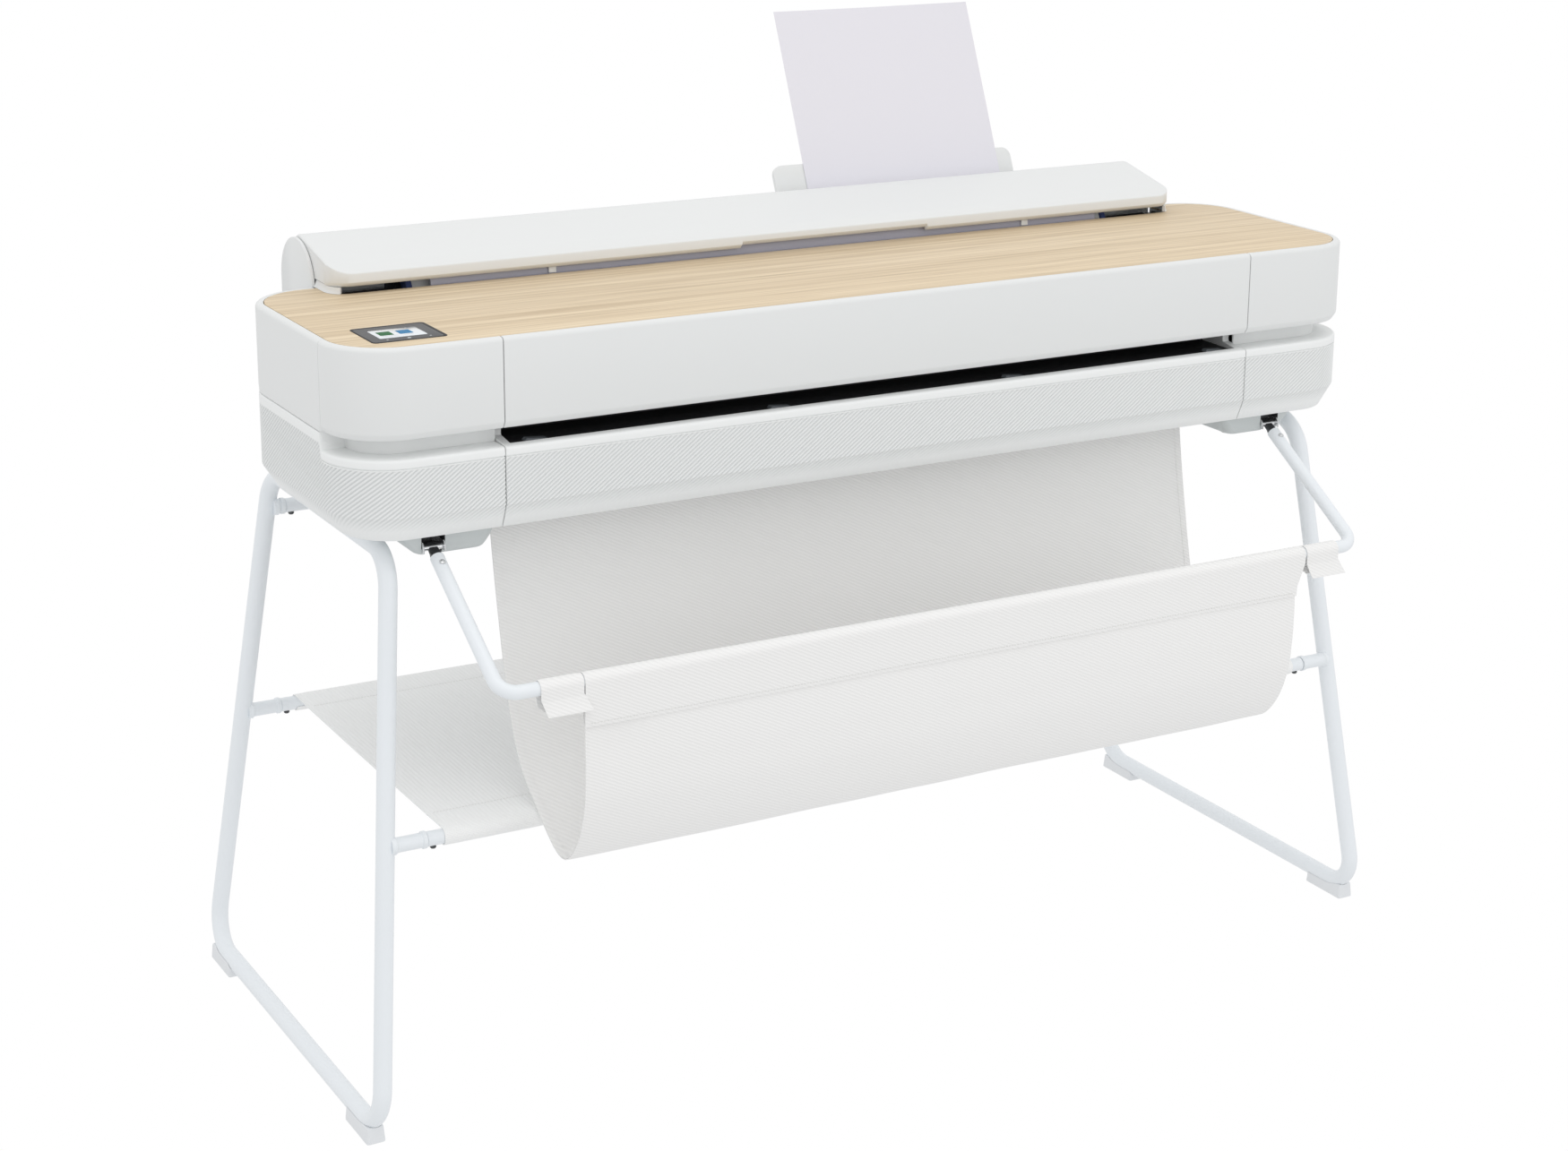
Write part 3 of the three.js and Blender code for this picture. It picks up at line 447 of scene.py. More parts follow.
def tube(points, normal, radius, closed=False, sides=28):
    """A round bar along points that lie in one plane."""
    normal = Vector(normal).normalized()
    count = len(points)
    rows = []
    for i, point in enumerate(points):
        point = Vector(point)
        before = Vector(points[i - 1]) if closed or i > 0 else point
        after = Vector(points[(i + 1) % count]) if closed or i < count - 1 else point
        along = (after - before).normalized()
        across = normal.cross(along).normalized()
        ring = []
        for side in range(sides):
            angle = 2 * math.pi * side / sides
            spoke = across * math.cos(angle) + normal * math.sin(angle)
            ring.append(tuple(point + spoke * radius))
        rows.append(ring)
    return grid(rows, wrap_rows=closed, wrap_columns=True, cap=not closed)


def merged(*parts):
    """Several parts as one."""
    verts = []
    faces = []
    for part_verts, part_faces in parts:
        base = len(verts)
        verts += part_verts
        faces += [tuple(i + base for i in face) for face in part_faces]
    return verts, faces


def mirror(part, side):
    """A part made for the right side, turned over for the left."""
    verts, faces = part
    if side == "right":
        return part
    return [(-x, y, z) for x, y, z in verts], [tuple(reversed(face)) for face in faces]


def round_path(corners, radii, closed, steps=14):
    """Points along a path of 2-D corners whose bends are arcs."""
    points = []
    count = len(corners)
    for i, corner in enumerate(corners):
        here = Vector(corner)
        if not closed and i in (0, count - 1):
            points.append(tuple(here))
            continue
        before = (Vector(corners[i - 1]) - here).normalized()
        after = (Vector(corners[(i + 1) % count]) - here).normalized()
        half = math.acos(max(-1, min(1, before.dot(after)))) / 2
        reach = radii[i] / math.tan(half)
        centre = here + (before + after).normalized() * (radii[i] / math.sin(half))
        start = here + before * reach - centre
        finish = here + after * reach - centre
        turn = math.atan2(start.x * finish.y - start.y * finish.x, start.dot(finish))
        for step in range(steps + 1):
            angle = turn * step / steps
            spoke = Matrix.Rotation(angle, 2) @ start
            points.append(tuple(centre + spoke))
    return points


def carve(obj, cutter_part, cutter_slot):
    """Cuts a solid out of a piece and leaves the cut faces in the cutter's material."""
    cutter = mesh_object("cutter", *cutter_part, MATERIALS[cutter_slot])
    smooth_below(cutter.data, 0)
    change = obj.modifiers.new("carve", "BOOLEAN")
    change.operation = "DIFFERENCE"
    change.solver = "EXACT"
    change.material_mode = "TRANSFER"
    change.object = cutter
    graph = bpy.context.evaluated_depsgraph_get()
    result = bpy.data.meshes.new_from_object(obj.evaluated_get(graph))
    obj.modifiers.clear()
    obj.data = result
    bpy.data.objects.remove(cutter)
    smooth_below(result, 30, clean=False)


# ---------------------------------------------------------------- casings

HALF_W = 642.0
FRONT = -178.0
BACK = 141.0
CORNER = 70.0
SEAM_X = 472.0
TOP_Z = 836.6
CHAMFER_Z = 661.4
BASE_Z = 635.2
ARC = CORNER * math.pi / 2
S_CORNER = HALF_W - CORNER
S_SIDE = S_CORNER + ARC
S_REAR_CORNER = S_SIDE + (BACK - FRONT - 2 * CORNER)
S_BACK = S_REAR_CORNER + ARC
S_END = S_BACK + (HALF_W - CORNER) - 558.5
S_SIDE_SEAM = S_SIDE + 2.0
GAP = 0.45


def plan_at(s):
    """Point on the body's plan outline and the inward direction, at a distance round it."""
    sign = -1 if s < 0 else 1
    s = abs(s)
    if s <= S_CORNER:
        x, y, nx, ny = s, FRONT, 0.0, 1.0
    elif s <= S_SIDE:
        angle = (s - S_CORNER) / CORNER - math.pi / 2
        nx, ny = -math.cos(angle), -math.sin(angle)
        x, y = S_CORNER - CORNER * nx, FRONT + CORNER - CORNER * ny
    elif s <= S_REAR_CORNER:
        x, y, nx, ny = HALF_W, FRONT + CORNER + s - S_SIDE, -1.0, 0.0
    elif s <= S_BACK:
        angle = (s - S_REAR_CORNER) / CORNER
        nx, ny = -math.cos(angle), -math.sin(angle)
        x, y = S_CORNER - CORNER * nx, BACK - CORNER - CORNER * ny
    else:
        x, y, nx, ny = S_CORNER - (s - S_BACK), BACK, 0.0, -1.0
    return sign * x, y, sign * nx, ny


def casing(stations, section_at, ease=0.55):
    """Sections of [inset, z] points carried round the plan outline, their ends eased."""
    rows = []
    last = len(stations) - 1
    for i, s in enumerate(stations):
        section = section_at(s)
        x, y, nx, ny = plan_at(s)
        if i in (0, last):
            tight = shrink(section, ease)
            end_row = [(x + nx * inset, y + ny * inset, z) for inset, z in tight]
            inner = s + (ease if i == 0 else -ease) * (1 if stations[-1] > stations[0] else -1)
            x, y, nx, ny = plan_at(inner)
            row = [(x + nx * inset, y + ny * inset, z) for inset, z in section]
            rows += [end_row, row] if i == 0 else [row, end_row]
        else:
            rows.append([(x + nx * inset, y + ny * inset, z) for inset, z in section])
    return solid(rows)


def spaced(start, stop, step):
    """Even stations from start to stop, about a step apart."""
    count = max(2, round(abs(stop - start) / step))
    return [start + (stop - start) * i / count for i in range(count + 1)]


UPPER = [
    (28, 748.6), (28, 741.9), (27.5, 741.3), (5.6, 741.3), (4.4, 741.8), (3.4, 743.2), (1.2, 746.8),
    (0.35, 748.1), (0, 749.6), (0, 832.0), (0.2, 833.2), (0.8, 834.4), (1.8, 835.4), (3.1, 836.15),
    (4.6, 836.5), (8.0, 836.55), (8.5, 836.1), (8.5, 830.4), (3, 827), (3, 748.6),
]
RIB_PITCH = 6.3
RIB_SLOPE = 0.74
RIB_DEPTH = 1.1
RIB_TOP_Z = 711.4
FLAT_RISE = 18.1
# The colour the rib grooves are multiplied by: painted shade.
GROOVE_PAINTED_SHADE = (0.76, 0.77, 0.77, 1)


def rise_at(s):
    """How far round into the flat side, where the lower casing reaches up to the upper one: 0 to 1."""
    share = min(1.0, max(0.0, (abs(s) - S_SIDE_SEAM - 1) / 6.0))
    return share * share * (3 - 2 * share)


def rib(s, z):
    """How deep the slanting ribs cut in at a place on the lower casing."""
    top = RIB_TOP_Z + FLAT_RISE * rise_at(s)
    fade = min(1.0, max(0.0, (z - 644.0) / 17.0)) * min(1.0, max(0.0, top - z))
    phase = 2 * math.pi * (s - z / RIB_SLOPE) / RIB_PITCH
    return RIB_DEPTH * fade * (0.5 - 0.5 * math.cos(phase))


def rib_heights():
    heights = []
    z = RIB_TOP_Z
    while z > 645.0:
        heights.append(z)
        z -= 0.78
    return heights


RIB_ZS = rib_heights()


def lower_section(ledge):
    """The lower casing's section at a distance round the body, under a given ledge."""

    def section_at(s):
        _, _, nx, ny = plan_at(s)
        base = 12.0 * ny * ny + 17.0 * nx * nx
        flat = rise_at(s)
        lift = FLAT_RISE * flat
        points = [(inset, z + lift) for inset, z in ledge]
        lip = [(1.7, 722.0), (0.7, 721.2), (0.15, 720.1), (0, 718.8), (0, 713.6)]
        points += [(inset * (1 - 0.5 * flat), z + lift) for inset, z in lip]
        points += [(1.5 * (1 - flat), 713.3 + lift), (1.5 * (1 - flat), 712.3 + lift), (0, 712.0 + lift)]
        for i in range(20):
            z = RIB_TOP_Z + 0.5 + lift * (1 - i / 20)
            points.append((rib(s, z), z))
        for z in RIB_ZS:
            lean = max(0.0, (CHAMFER_Z - z) / (CHAMFER_Z - BASE_Z))
            points.append((base * lean + rib(s, z), z))
        points += [(base * 0.97, 636.0), (base + 0.6, BASE_Z), (60, BASE_Z), (60, 638.2)]
        points += [(base + 3.4, 638.2), (3.2, 663), (3.2, 719), (ledge[0][0], 719)]
        return points

    return section_at


def store_groove_shade(obj):
    """Stores how deep each point lies in the rib grooves, as a mask for the painted shade in the ribbed
    material.
    """
    mesh = obj.data
    values = []
    for vertex in mesh.vertices:
        x, y, z = (1000 * v for v in vertex.co)
        reach = abs(x)
        if y < 0 and reach <= S_CORNER:
            s = x
        elif y < FRONT + CORNER:
            angle = math.atan2(reach - S_CORNER, FRONT + CORNER - y)
            s = math.copysign(S_CORNER + CORNER * angle, x)
        elif y < BACK - CORNER:
            s = math.copysign(S_SIDE + y - FRONT - CORNER, x)
        else:
            angle = math.atan2(y - BACK + CORNER, reach - S_CORNER)
            s = math.copysign(S_REAR_CORNER + CORNER * angle, x)
        px, py, _, _ = plan_at(s)
        outside = math.hypot(px - x, py - y) < 20 and z < 730
        values.append(rib(s, z) / RIB_DEPTH if outside else 0.0)
    groove_shade = mesh.attributes.new("groove_shade", "FLOAT", "POINT")
    groove_shade.data.foreach_set("value", values)


def add_painted_groove_shade():
    """Darkens the ribbed material's colour inside its grooves with painted shade, more where they are
    deeper.
    """
    tree = RIBBED_LIT_AND_SHADED.node_tree
    shader = tree.nodes["Principled BSDF"]
    tint = shader.inputs["Base Color"].links[0].from_node
    groove_shade = add_node(tree, "Attribute", attribute_name="groove_shade")
    shade = add_node(tree, "Mix", {"B": GROOVE_PAINTED_SHADE}, data_type="RGBA", blend_type="MULTIPLY")
    join(tree, (
        (groove_shade, "Fac", shade, "Factor"),
        (tint, "Result", shade, "A"),
        (shade, "Result", shader, "Base Color"),
    ))


END_LEDGE = [(38, 722.6), (14, 722.6), (3.2, 722.5)]
MIDDLE_LEDGE = [(10, 723.3), (8, 723.2), (3.2, 722.5)]


def upper_at(s):
    """The upper shell's section, whose lower bevel closes to a fine line on the flat side."""
    share = 1 - 0.86 * rise_at(s)
    return [(inset * share if inset < 10 and z < 748.5 and z > 741 else inset, z) for inset, z in UPPER]


def recess_at(s):
    """The wall behind the finger recess, which comes forward to a flush wall on the flat side."""
    share = min(1.0, max(0.0, (abs(s) - S_SIDE_SEAM) / 5.0))
    inset = 26.0 + (1.6 - 26.0) * share * share * (3 - 2 * share)
    return [(inset, 722.7), (inset, 741.1), (inset + 3, 741.1), (inset + 3, 722.7)]


def build_casings():
    middle = SEAM_X - GAP
    cover = spaced(-middle, middle, 40)
    piece("front_cover_shell", *casing(cover, upper_at), "casing_white", "front_cover_body", ["front_cover"])
    panel = casing(spaced(-middle, middle, 1.05), lower_section(MIDDLE_LEDGE))
    add_painted_groove_shade()
    store_groove_shade(piece("ribbed_front_panel", *panel, "casing_white", mat=RIBBED_LIT_AND_SHADED,
                     stands_for=["lower_front_panel"]))
    door_stops = spaced(SEAM_X + GAP, S_CORNER, 50)[:-1] + spaced(S_CORNER, S_SIDE, 4.0)
    door_stops += [S_SIDE_SEAM - GAP]
    side_stops = [S_SIDE_SEAM + step for step in (GAP, 2, 3, 4, 5, 6, 7)]
    side_stops += spaced(S_SIDE + 12, S_REAR_CORNER, 40)[:-1]
    side_stops += spaced(S_REAR_CORNER, S_BACK, 4.0) + [S_END]
    end_stops = spaced(SEAM_X + GAP, S_END, 1.05)
    recess_stops = spaced(SEAM_X + GAP, S_CORNER, 30)[:-1] + spaced(S_CORNER, S_SIDE_SEAM + 8, 2.0)
    for side in SIDES:
        sign = -1 if side == "left" else 1
        door = casing([sign * s for s in door_stops], upper_at)
        piece(f"{side}_corner_shell", *door, "casing_white", f"{side}_door_body", [f"{side}_corner_door"])
        flat = casing([sign * s for s in side_stops], upper_at)
        piece(f"{side}_side_shell", *flat, "casing_white", stands_for=[f"{side}_upper_side_casing"])
        lower = casing([sign * s for s in end_stops], lower_section(END_LEDGE))
        store_groove_shade(piece(f"{side}_ribbed_end", *lower, "casing_white", mat=RIBBED_LIT_AND_SHADED,
                         stands_for=[f"{side}_lower_end_casing"]))
        wall = casing([sign * s for s in recess_stops], recess_at, 0.3)
        piece(f"{side}_recess_wall", *wall, "casing_white")


def front_section(points):
    """[inset, z] points on the front as [y, z] points."""
    return [(FRONT + inset, z) for inset, z in points]


SLOT_X = 462.2
GUIDES_X = (-446, -160, 140, 420)


def build_slot():
    """The dark paper slot above the front ledge, its white cheeks and its small paper guides."""
    throat = front_section([
        (10.4, 722.4), (10.4, 718.0), (74, 718.0), (74, 741.0), (72, 741.0), (72, 720.4), (14, 720.4),
        (12, 722.4),
    ])
    piece("paper_slot", *along_x(throat, -SLOT_X, SLOT_X, 0.2), "dark_plastic")
    cheek = front_section([
        (10.3, 719.4), (10.3, 723.3), (22, 725.0), (33, 726.6), (33.6, 728), (33.6, 741.0), (74, 741.0),
        (74, 719.4),
    ])
    for side in SIDES:
        ends = mirror(along_x(cheek, SLOT_X + 0.2, SEAM_X - GAP, 0.5), side)
        piece(f"{side}_slot_cheek", *ends, "casing_white")
        # A dark strip inside each seam gap behind the cheek, standing for the shade in the gap: painted
        # shade.
        channel = front_section([(36, 719.4), (36, 741.0), (38, 741.0), (38, 719.4)])
        dark = mirror(along_x(channel, SEAM_X - GAP + 0.05, SEAM_X + GAP - 0.05, 0.01), side)
        piece(f"{side}_seam_shade_strip", *dark, "dark_plastic")
    guides = []
    for x in GUIDES_X:
        flat = [(x, 722.9), (x + 2, 725.4), (x + 5, 725.3), (x + 24, 723.6), (x + 26, 722.9)]
        rows = [[(px, y, z) for px, z in flat] for y in (FRONT + 10.6, FRONT + 19)]
        guides.append(solid(rows))
    piece("slot_guides", *merged(*guides), "cartridge_grey", sharp=20)


OPENING_X = 554.6
OPENING_Y = 89.0
OPENING_CORNER = 20.0
WOOD_INSET = 9.3
BEZEL = (-598, -517.5, -146, -76)
SCREEN = (-585, -534, -131, -94)
TILE_Y = (-119.5, -103.5)
TILE_WIDTH = 14.5
KEY_Y = -138.5


def wood_outline(inset):
    """The panel's plan outline, with the opening for the roll bay at the back."""
    stations = spaced(0, S_CORNER, 60)[:-1] + spaced(S_CORNER, S_SIDE, 4.0)[:-1]
    stations += spaced(S_SIDE, S_REAR_CORNER, 60)[:-1] + spaced(S_REAR_CORNER, S_BACK, 4.0)
    points = []
    for s in stations:
        x, y, nx, ny = plan_at(s)
        points.append((x + nx * inset, y + ny * inset))
    points.append((OPENING_X, BACK - inset))
    for step in range(7):
        turn = step * math.pi / 12
        x = OPENING_X - OPENING_CORNER * (1 - math.cos(turn))
        y = OPENING_Y + OPENING_CORNER * (1 - math.sin(turn))
        points.append((x, y))
    return points + [(-x, y) for x, y in reversed(points)][:-1]


def build_top():
    wood = prism(wood_outline(WOOD_INSET), TOP_Z - 3, TOP_Z - 0.1, top=0.4, bottom=0.1)
    piece("oak_panel_top", *wood, "oak_panel", stands_for=["wood_top"])
    # A thin dark rim round the bezel; the grey plate leaves it wider along the rear and right edges, where
    # it stands for the shadow in the gap there: painted shadow.
    rim = prism(round_rect(*BEZEL, 5), TOP_Z - 0.6, TOP_Z + 0.5, top=0.4, bottom=0.1)
    piece("bezel_rim_and_shadow", *rim, "dark_plastic", stands_for=["control_bezel"])
    plate = prism(round_rect(-596.6, -521.5, -144.8, -81, 4), TOP_Z + 0.3, TOP_Z + 0.6, top=0.2, bottom=0.1)
    piece("panel_bezel", *plate, "bezel_grey")
    glass = prism(round_rect(*SCREEN, 1.5), TOP_Z - 0.3, TOP_Z + 0.8, top=0.15, bottom=0.1)
    piece("panel_screen", *glass, "screen", stands_for=["touch_screen"])
    for i, (x, look) in enumerate([(-580, TILE_GREEN), (-559, TILE_BLUE)]):
        tile = prism(round_rect(x, x + TILE_WIDTH, *TILE_Y, 0.8), TOP_Z + 0.7, TOP_Z + 0.9, 0.04, 0.01)
        piece(f"screen_tile_{i}", *tile, "screen", mat=look)
    lines = [prism(round_rect(x, x + w, -123.8, -122.4, 0.5), TOP_Z + 0.7, TOP_Z + 0.86, 0.02, 0.01)
             for x, w in ((-580, 17), (-557, 10))]
    piece("screen_bars", *merged(*lines), "screen", mat=MATERIALS["hinge_grey"])
    dots = [turned([(0, r), (0.15, r)], (x, KEY_Y, TOP_Z + 0.55), (0, 0, 1), 16)
            for x, r in ((-580, 1.1), (-557, 2.0), (-534, 1.1))]
    piece("panel_keys", *merged(*dots), "bezel_grey", mat=MATERIALS["hinge_grey"])


# ---------------------------------------------------------------- roll bay and its cover

LID_HALF = 554.0
LID_FRONT = 83.0
LID_TOP = [
    (83, 859.0), (97, 864.9), (120, 870.2), (143, 875.3), (165, 880.3), (178, 883.2), (187, 884.9),
    (193, 884.9), (197.8, 882.7),
]
LID_CORNER = 24.0
LID_CORNER_X = LID_HALF - LID_CORNER
LID_CORNER_Y = LID_FRONT + LID_CORNER
LID_REAR = 197.8
LIP_Z = 844.0
NOTCH_X = (-60.2, 190.2)
NOTCH_RISE = 3.4
DRUM_Y = 191.3
DRUM_Z = 832.0
DRUM_RADIUS = 50.0
ROLL_Y = 136.0
ROLL_Z = 820.0
ROLL_WIDTH = 914.0
ROLL_RADIUS = 33.0
ROLL_BORE = 26.0


def lid_top(y):
    """The height of the roll cover's top at a depth."""
    for (y0, z0), (y1, z1) in zip(LID_TOP, LID_TOP[1:]):
        if y <= y1:
            return z0 + (z1 - z0) * max(0.0, (y - y0) / (y1 - y0))
    return LID_TOP[-1][1]


def lid_profile(front, drop, raise_lip):
    """The cover's [y, z] section where its front edge is at a given place."""
    low = LIP_Z + raise_lip
    points = [(front + 6, low), (front + 4.6, low + 0.4), (front + 0.5, low + 4.4), (front, low + 5.2)]
    start = front + 1.8
    z_start = lid_top(start)
    points += [(front, z_start - 1.9), (front + 0.2, z_start - 1.1), (front + 0.8, z_start - 0.4)]
    for i in range(22):
        y = start + (LID_REAR - start) * i / 21
        points.append((y, lid_top(y)))
    inside = []
    for i in range(12):
        y = 196.0 + (front + 9 - 196.0) * i / 11
        inside.append((y, lid_top(y) - 3.1))
    points = [(y, z - (drop if z > 852 else 0)) for y, z in points] + inside
    points += [(front + 9, low + 5), (front + 8, low + 2)]
    return points


def build_cover():
    xs = [0.0, 59.6, 60.4, 189.6, 190.4, 300, 420, LID_CORNER_X]
    xs += [LID_CORNER_X + (LID_CORNER - 1.2) * math.sin(a * math.pi / 24) for a in range(1, 13)]
    stops = sorted({-x for x in xs} | set(xs))
    rows = []
    for x in stops:
        over = max(0.0, abs(x) - LID_CORNER_X)
        front = LID_CORNER_Y - math.sqrt(max(0.0, LID_CORNER ** 2 - over ** 2))
        notch = NOTCH_RISE if NOTCH_X[0] < x < NOTCH_X[1] else 0.0
        rows.append([(x, y, z) for y, z in lid_profile(front, 0.0, notch)])
    edge = lid_profile(LID_CORNER_Y - 1.0, 0.9, 0.0)
    rows.insert(0, [(-LID_HALF, y, z) for y, z in edge])
    rows.append([(LID_HALF, y, z) for y, z in edge])
    cover = piece("roll_cover_shell", *solid(rows), "casing_white", "roll_cover_body", ["roll_cover"],
                  sharp=30)
    for side in SIDES:
        wall = [(108, 844.4), (108, 865.2)]
        wall += [(108 + 82 * i / 8, lid_top(108 + 82 * i / 8) - 2.4) for i in range(1, 9)]
        wall += [(190, 866), (184, 862), (165, 852), (150, 844.4)]
        end = mirror(along_x(wall, LID_HALF - 3.2, LID_HALF - 0.3, 0.3), side)
        pin = mirror(turned([(0, 3), (5, 3), (5.4, 2.6)], (LID_HALF - 3, 184, 870), (1, 0, 0), 20), side)
        attached(cover, f"{side}_cover_end", merged(end, pin), "casing_white", "roll_cover_body")


def drum_outline():
    """The rear drum's [y, z] end outline: a half circle over a flat-bottomed foot."""
    points = [(DRUM_Y + y, DRUM_Z + z) for y, z in arc(0, 0, DRUM_RADIUS, 0, 180, 44)]
    rear = DRUM_Y + DRUM_RADIUS
    front = DRUM_Y - DRUM_RADIUS
    return points + [(front, 802), (front + 12, 790), (rear - 9, 790), (rear, 800)]


def build_skirt():
    """The low wall between the wood and the cover's end, turning in under the cover's front corner."""
    path = [(math.radians(50 - 10 * i), 0.0) for i in range(6)] + [(0.0, reach) for reach in (10, 20, 34.2)]
    rows = []
    for turn, reach in path:
        flare = 1.0 - turn / math.radians(55)
        section = [(549.4, 836.7), (553.2 + 3.4 * flare, 836.7), (553.0 + 1.9 * flare, 838.0),
                   (552.8 + 0.9 * flare, 840.6), (552.8, 843.7), (549.4, 843.7)]
        row = []
        for x, z in section:
            spoke = x - LID_CORNER_X
            y = LID_CORNER_Y + reach - spoke * math.sin(turn)
            row.append((LID_CORNER_X + spoke * math.cos(turn), y, z))
        rows.append(row)
    return solid(rows)


def build_bay():
    for side in SIDES:
        full = drum_outline()
        rows = []
        for x, inwards in ((554.3, 0.3), (554.6, 0.0), (556.9, 0.0), (557.6, 0.35), (558.0, 1.1)):
            rows.append([(x, y, z) for y, z in shrink(full, inwards + 1e-4)])
        face = mirror(solid(rows), side)
        seat = mirror(along_x([(122, 800), (122, 829), (152, 829), (152, 800)], 545, 550), side)
        link = mirror(along_x([(143, 806), (143, 829), (164, 829), (164, 806)], 548, 554.5), side)
        cap = piece(f"{side}_drum_cap", *merged(face, seat, link), "casing_white",
                    stands_for=[f"{side}_bay_end_cap"], sharp=30)
        attached(cap, f"{side}_cap_skirt", mirror(build_skirt(), side), "casing_white", sharp=60)
    strip = [(93, 839), (93, 831), (96.5, 831), (96.5, 839), (99, 850.6), (97, 851)]
    piece("guide_strip", *along_x(strip, -440, 440, 0.2), "smoked_guide", stands_for=["entry_guide"])
    lips = [along_x([(90.6, 837.2), (92.8, 837.2), (92.8, 843.4), (91.4, 843.4)], x, x + 9, 0.3)
            for x in (-300, 330)]
    piece("guide_tabs", *merged(*lips), "casing_white")
    rim = ROLL_RADIUS - 0.6
    ends = [(0, ROLL_BORE), (0, rim), (0.6, ROLL_RADIUS)]
    ends += [(ROLL_WIDTH - distance, radius) for distance, radius in reversed(ends)]
    paper = turned(ends, (-ROLL_WIDTH / 2, ROLL_Y, ROLL_Z), (1, 0, 0), 64)
    piece("loaded_roll", *paper, "roll_paper", "spindle_body", ["paper_roll"])


LEAN = math.radians(24)
SHEET_TOP = 1082.2
SHEET_X = 247.6
SHEET_WIDTH = 279.4
SHEET_LENGTH = 431.8
TRAY_X = 66.0
TRAY_WIDTH = 343.0
TRAY_Z = (829.0, 907.0)
TRAY_CORNER = 12.0


def sheet_y(z):
    """The leaning sheet's depth at a height."""
    return 319.7 - (SHEET_TOP - z) * math.tan(LEAN)


def build_tray():
    along = Vector((0, math.sin(LEAN), math.cos(LEAN)))
    out = Vector((1, 0, 0)).cross(along)
    bottom, top = TRAY_Z
    origin = Vector((TRAY_X, sheet_y(bottom), bottom))
    length = (top - bottom) / math.cos(LEAN)
    quarter = [math.pi / 2 * i / 8 for i in range(9)]
    shoulder = length - TRAY_CORNER
    outline = [(TRAY_WIDTH, 0)]
    outline += [(TRAY_WIDTH - TRAY_CORNER * (1 - math.cos(a)), shoulder + TRAY_CORNER * math.sin(a))
                for a in quarter]
    outline += [(TRAY_CORNER * (1 - math.sin(a)), shoulder + TRAY_CORNER * math.cos(a)) for a in quarter]
    outline.append((0, 0))
    verts, faces = prism(outline, -6.9, -0.9, top=0.7, bottom=0.7)
    verts = [tuple(origin + Vector((1, 0, 0)) * x + along * v + out * w) for x, v, w in verts]
    arm = along_x([(213, 829), (219, 842), (235.5, 842), (238, 832), (238, 826), (213, 826)], 78, 397)
    piece("tray_plate", *merged((verts, faces), arm), "casing_white", stands_for=["sheet_tray"])
    rows = []
    for i in range(25):
        v = SHEET_LENGTH * i / 24
        row = []
        back = []
        for j in range(17):
            u = SHEET_WIDTH * (j / 16 - 0.5)
            curl = 1.6 * (2 * u / SHEET_WIDTH) ** 2 * (v / SHEET_LENGTH) ** 3
            curl += 0.5 * noise.noise((u / 90, v / 120, 0.3))
            lift = curl * min(1.0, max(0.0, (v - 225) / 60.0))
            point = Vector((SHEET_X + u, sheet_y(SHEET_TOP), SHEET_TOP)) - along * (SHEET_LENGTH - v)
            row.append(tuple(point + out * (lift + 0.12)))
            back.append(tuple(point + out * (lift - 0.12)))
        rows.append(row + list(reversed(back)))
    piece("waiting_sheet", *solid(rows), "sheet_paper", "sheet_body", ["loaded_sheet"], sharp=60)


# ---------------------------------------------------------------- stand

FRAME_SLOPE = 0.1026
FRAME_N = Vector((1, 0, FRAME_SLOPE)).normalized()
LOOP_Z = (17.0, 613.5)
RAIL_X = 573.8
RAIL_RADIUS = 8.0
TUBE_RADIUS = 9.8
CHANNEL_RADIUS = 10.1
SADDLE_X = 648.0
SADDLE_LENGTH = 66.0
# A foot from the floor up: height, half width, cut-back of its ends, corner radius.
SADDLE_LEVELS = (
    (0, 9.9, 0.8, 2.4), (0.7, 10.5, 0.0, 3), (3, 10.4, 0.1, 3), (10, 9.9, 0.8, 3), (16.4, 9.5, 1.4, 3),
    (17.5, 9.1, 1.9, 2.6), (18, 8.4, 2.6, 2),
)
STUBS = (("lower_front", -186, 317.2), ("lower_rear", 263, 317.2), ("upper_rear", 218, 571.5))


def frame_x(z):
    """The side frame's distance from the middle at a height."""
    return 649.2 - FRAME_SLOPE * z


def loop_points():
    """The middle line of a side frame: a closed loop whose legs lean towards each other."""
    low, high = LOOP_Z
    front = [-230.1 + 0.1505 * z for z in LOOP_Z]
    rear = [317.3 - 0.1586 * z for z in LOOP_Z]
    corners = [(front[0], low), (rear[0], low), (rear[1], high), (front[1], high)]
    path = round_path(corners, [41.5, 41.5, 43, 43], True)
    return [(frame_x(z), y, z) for y, z in path]


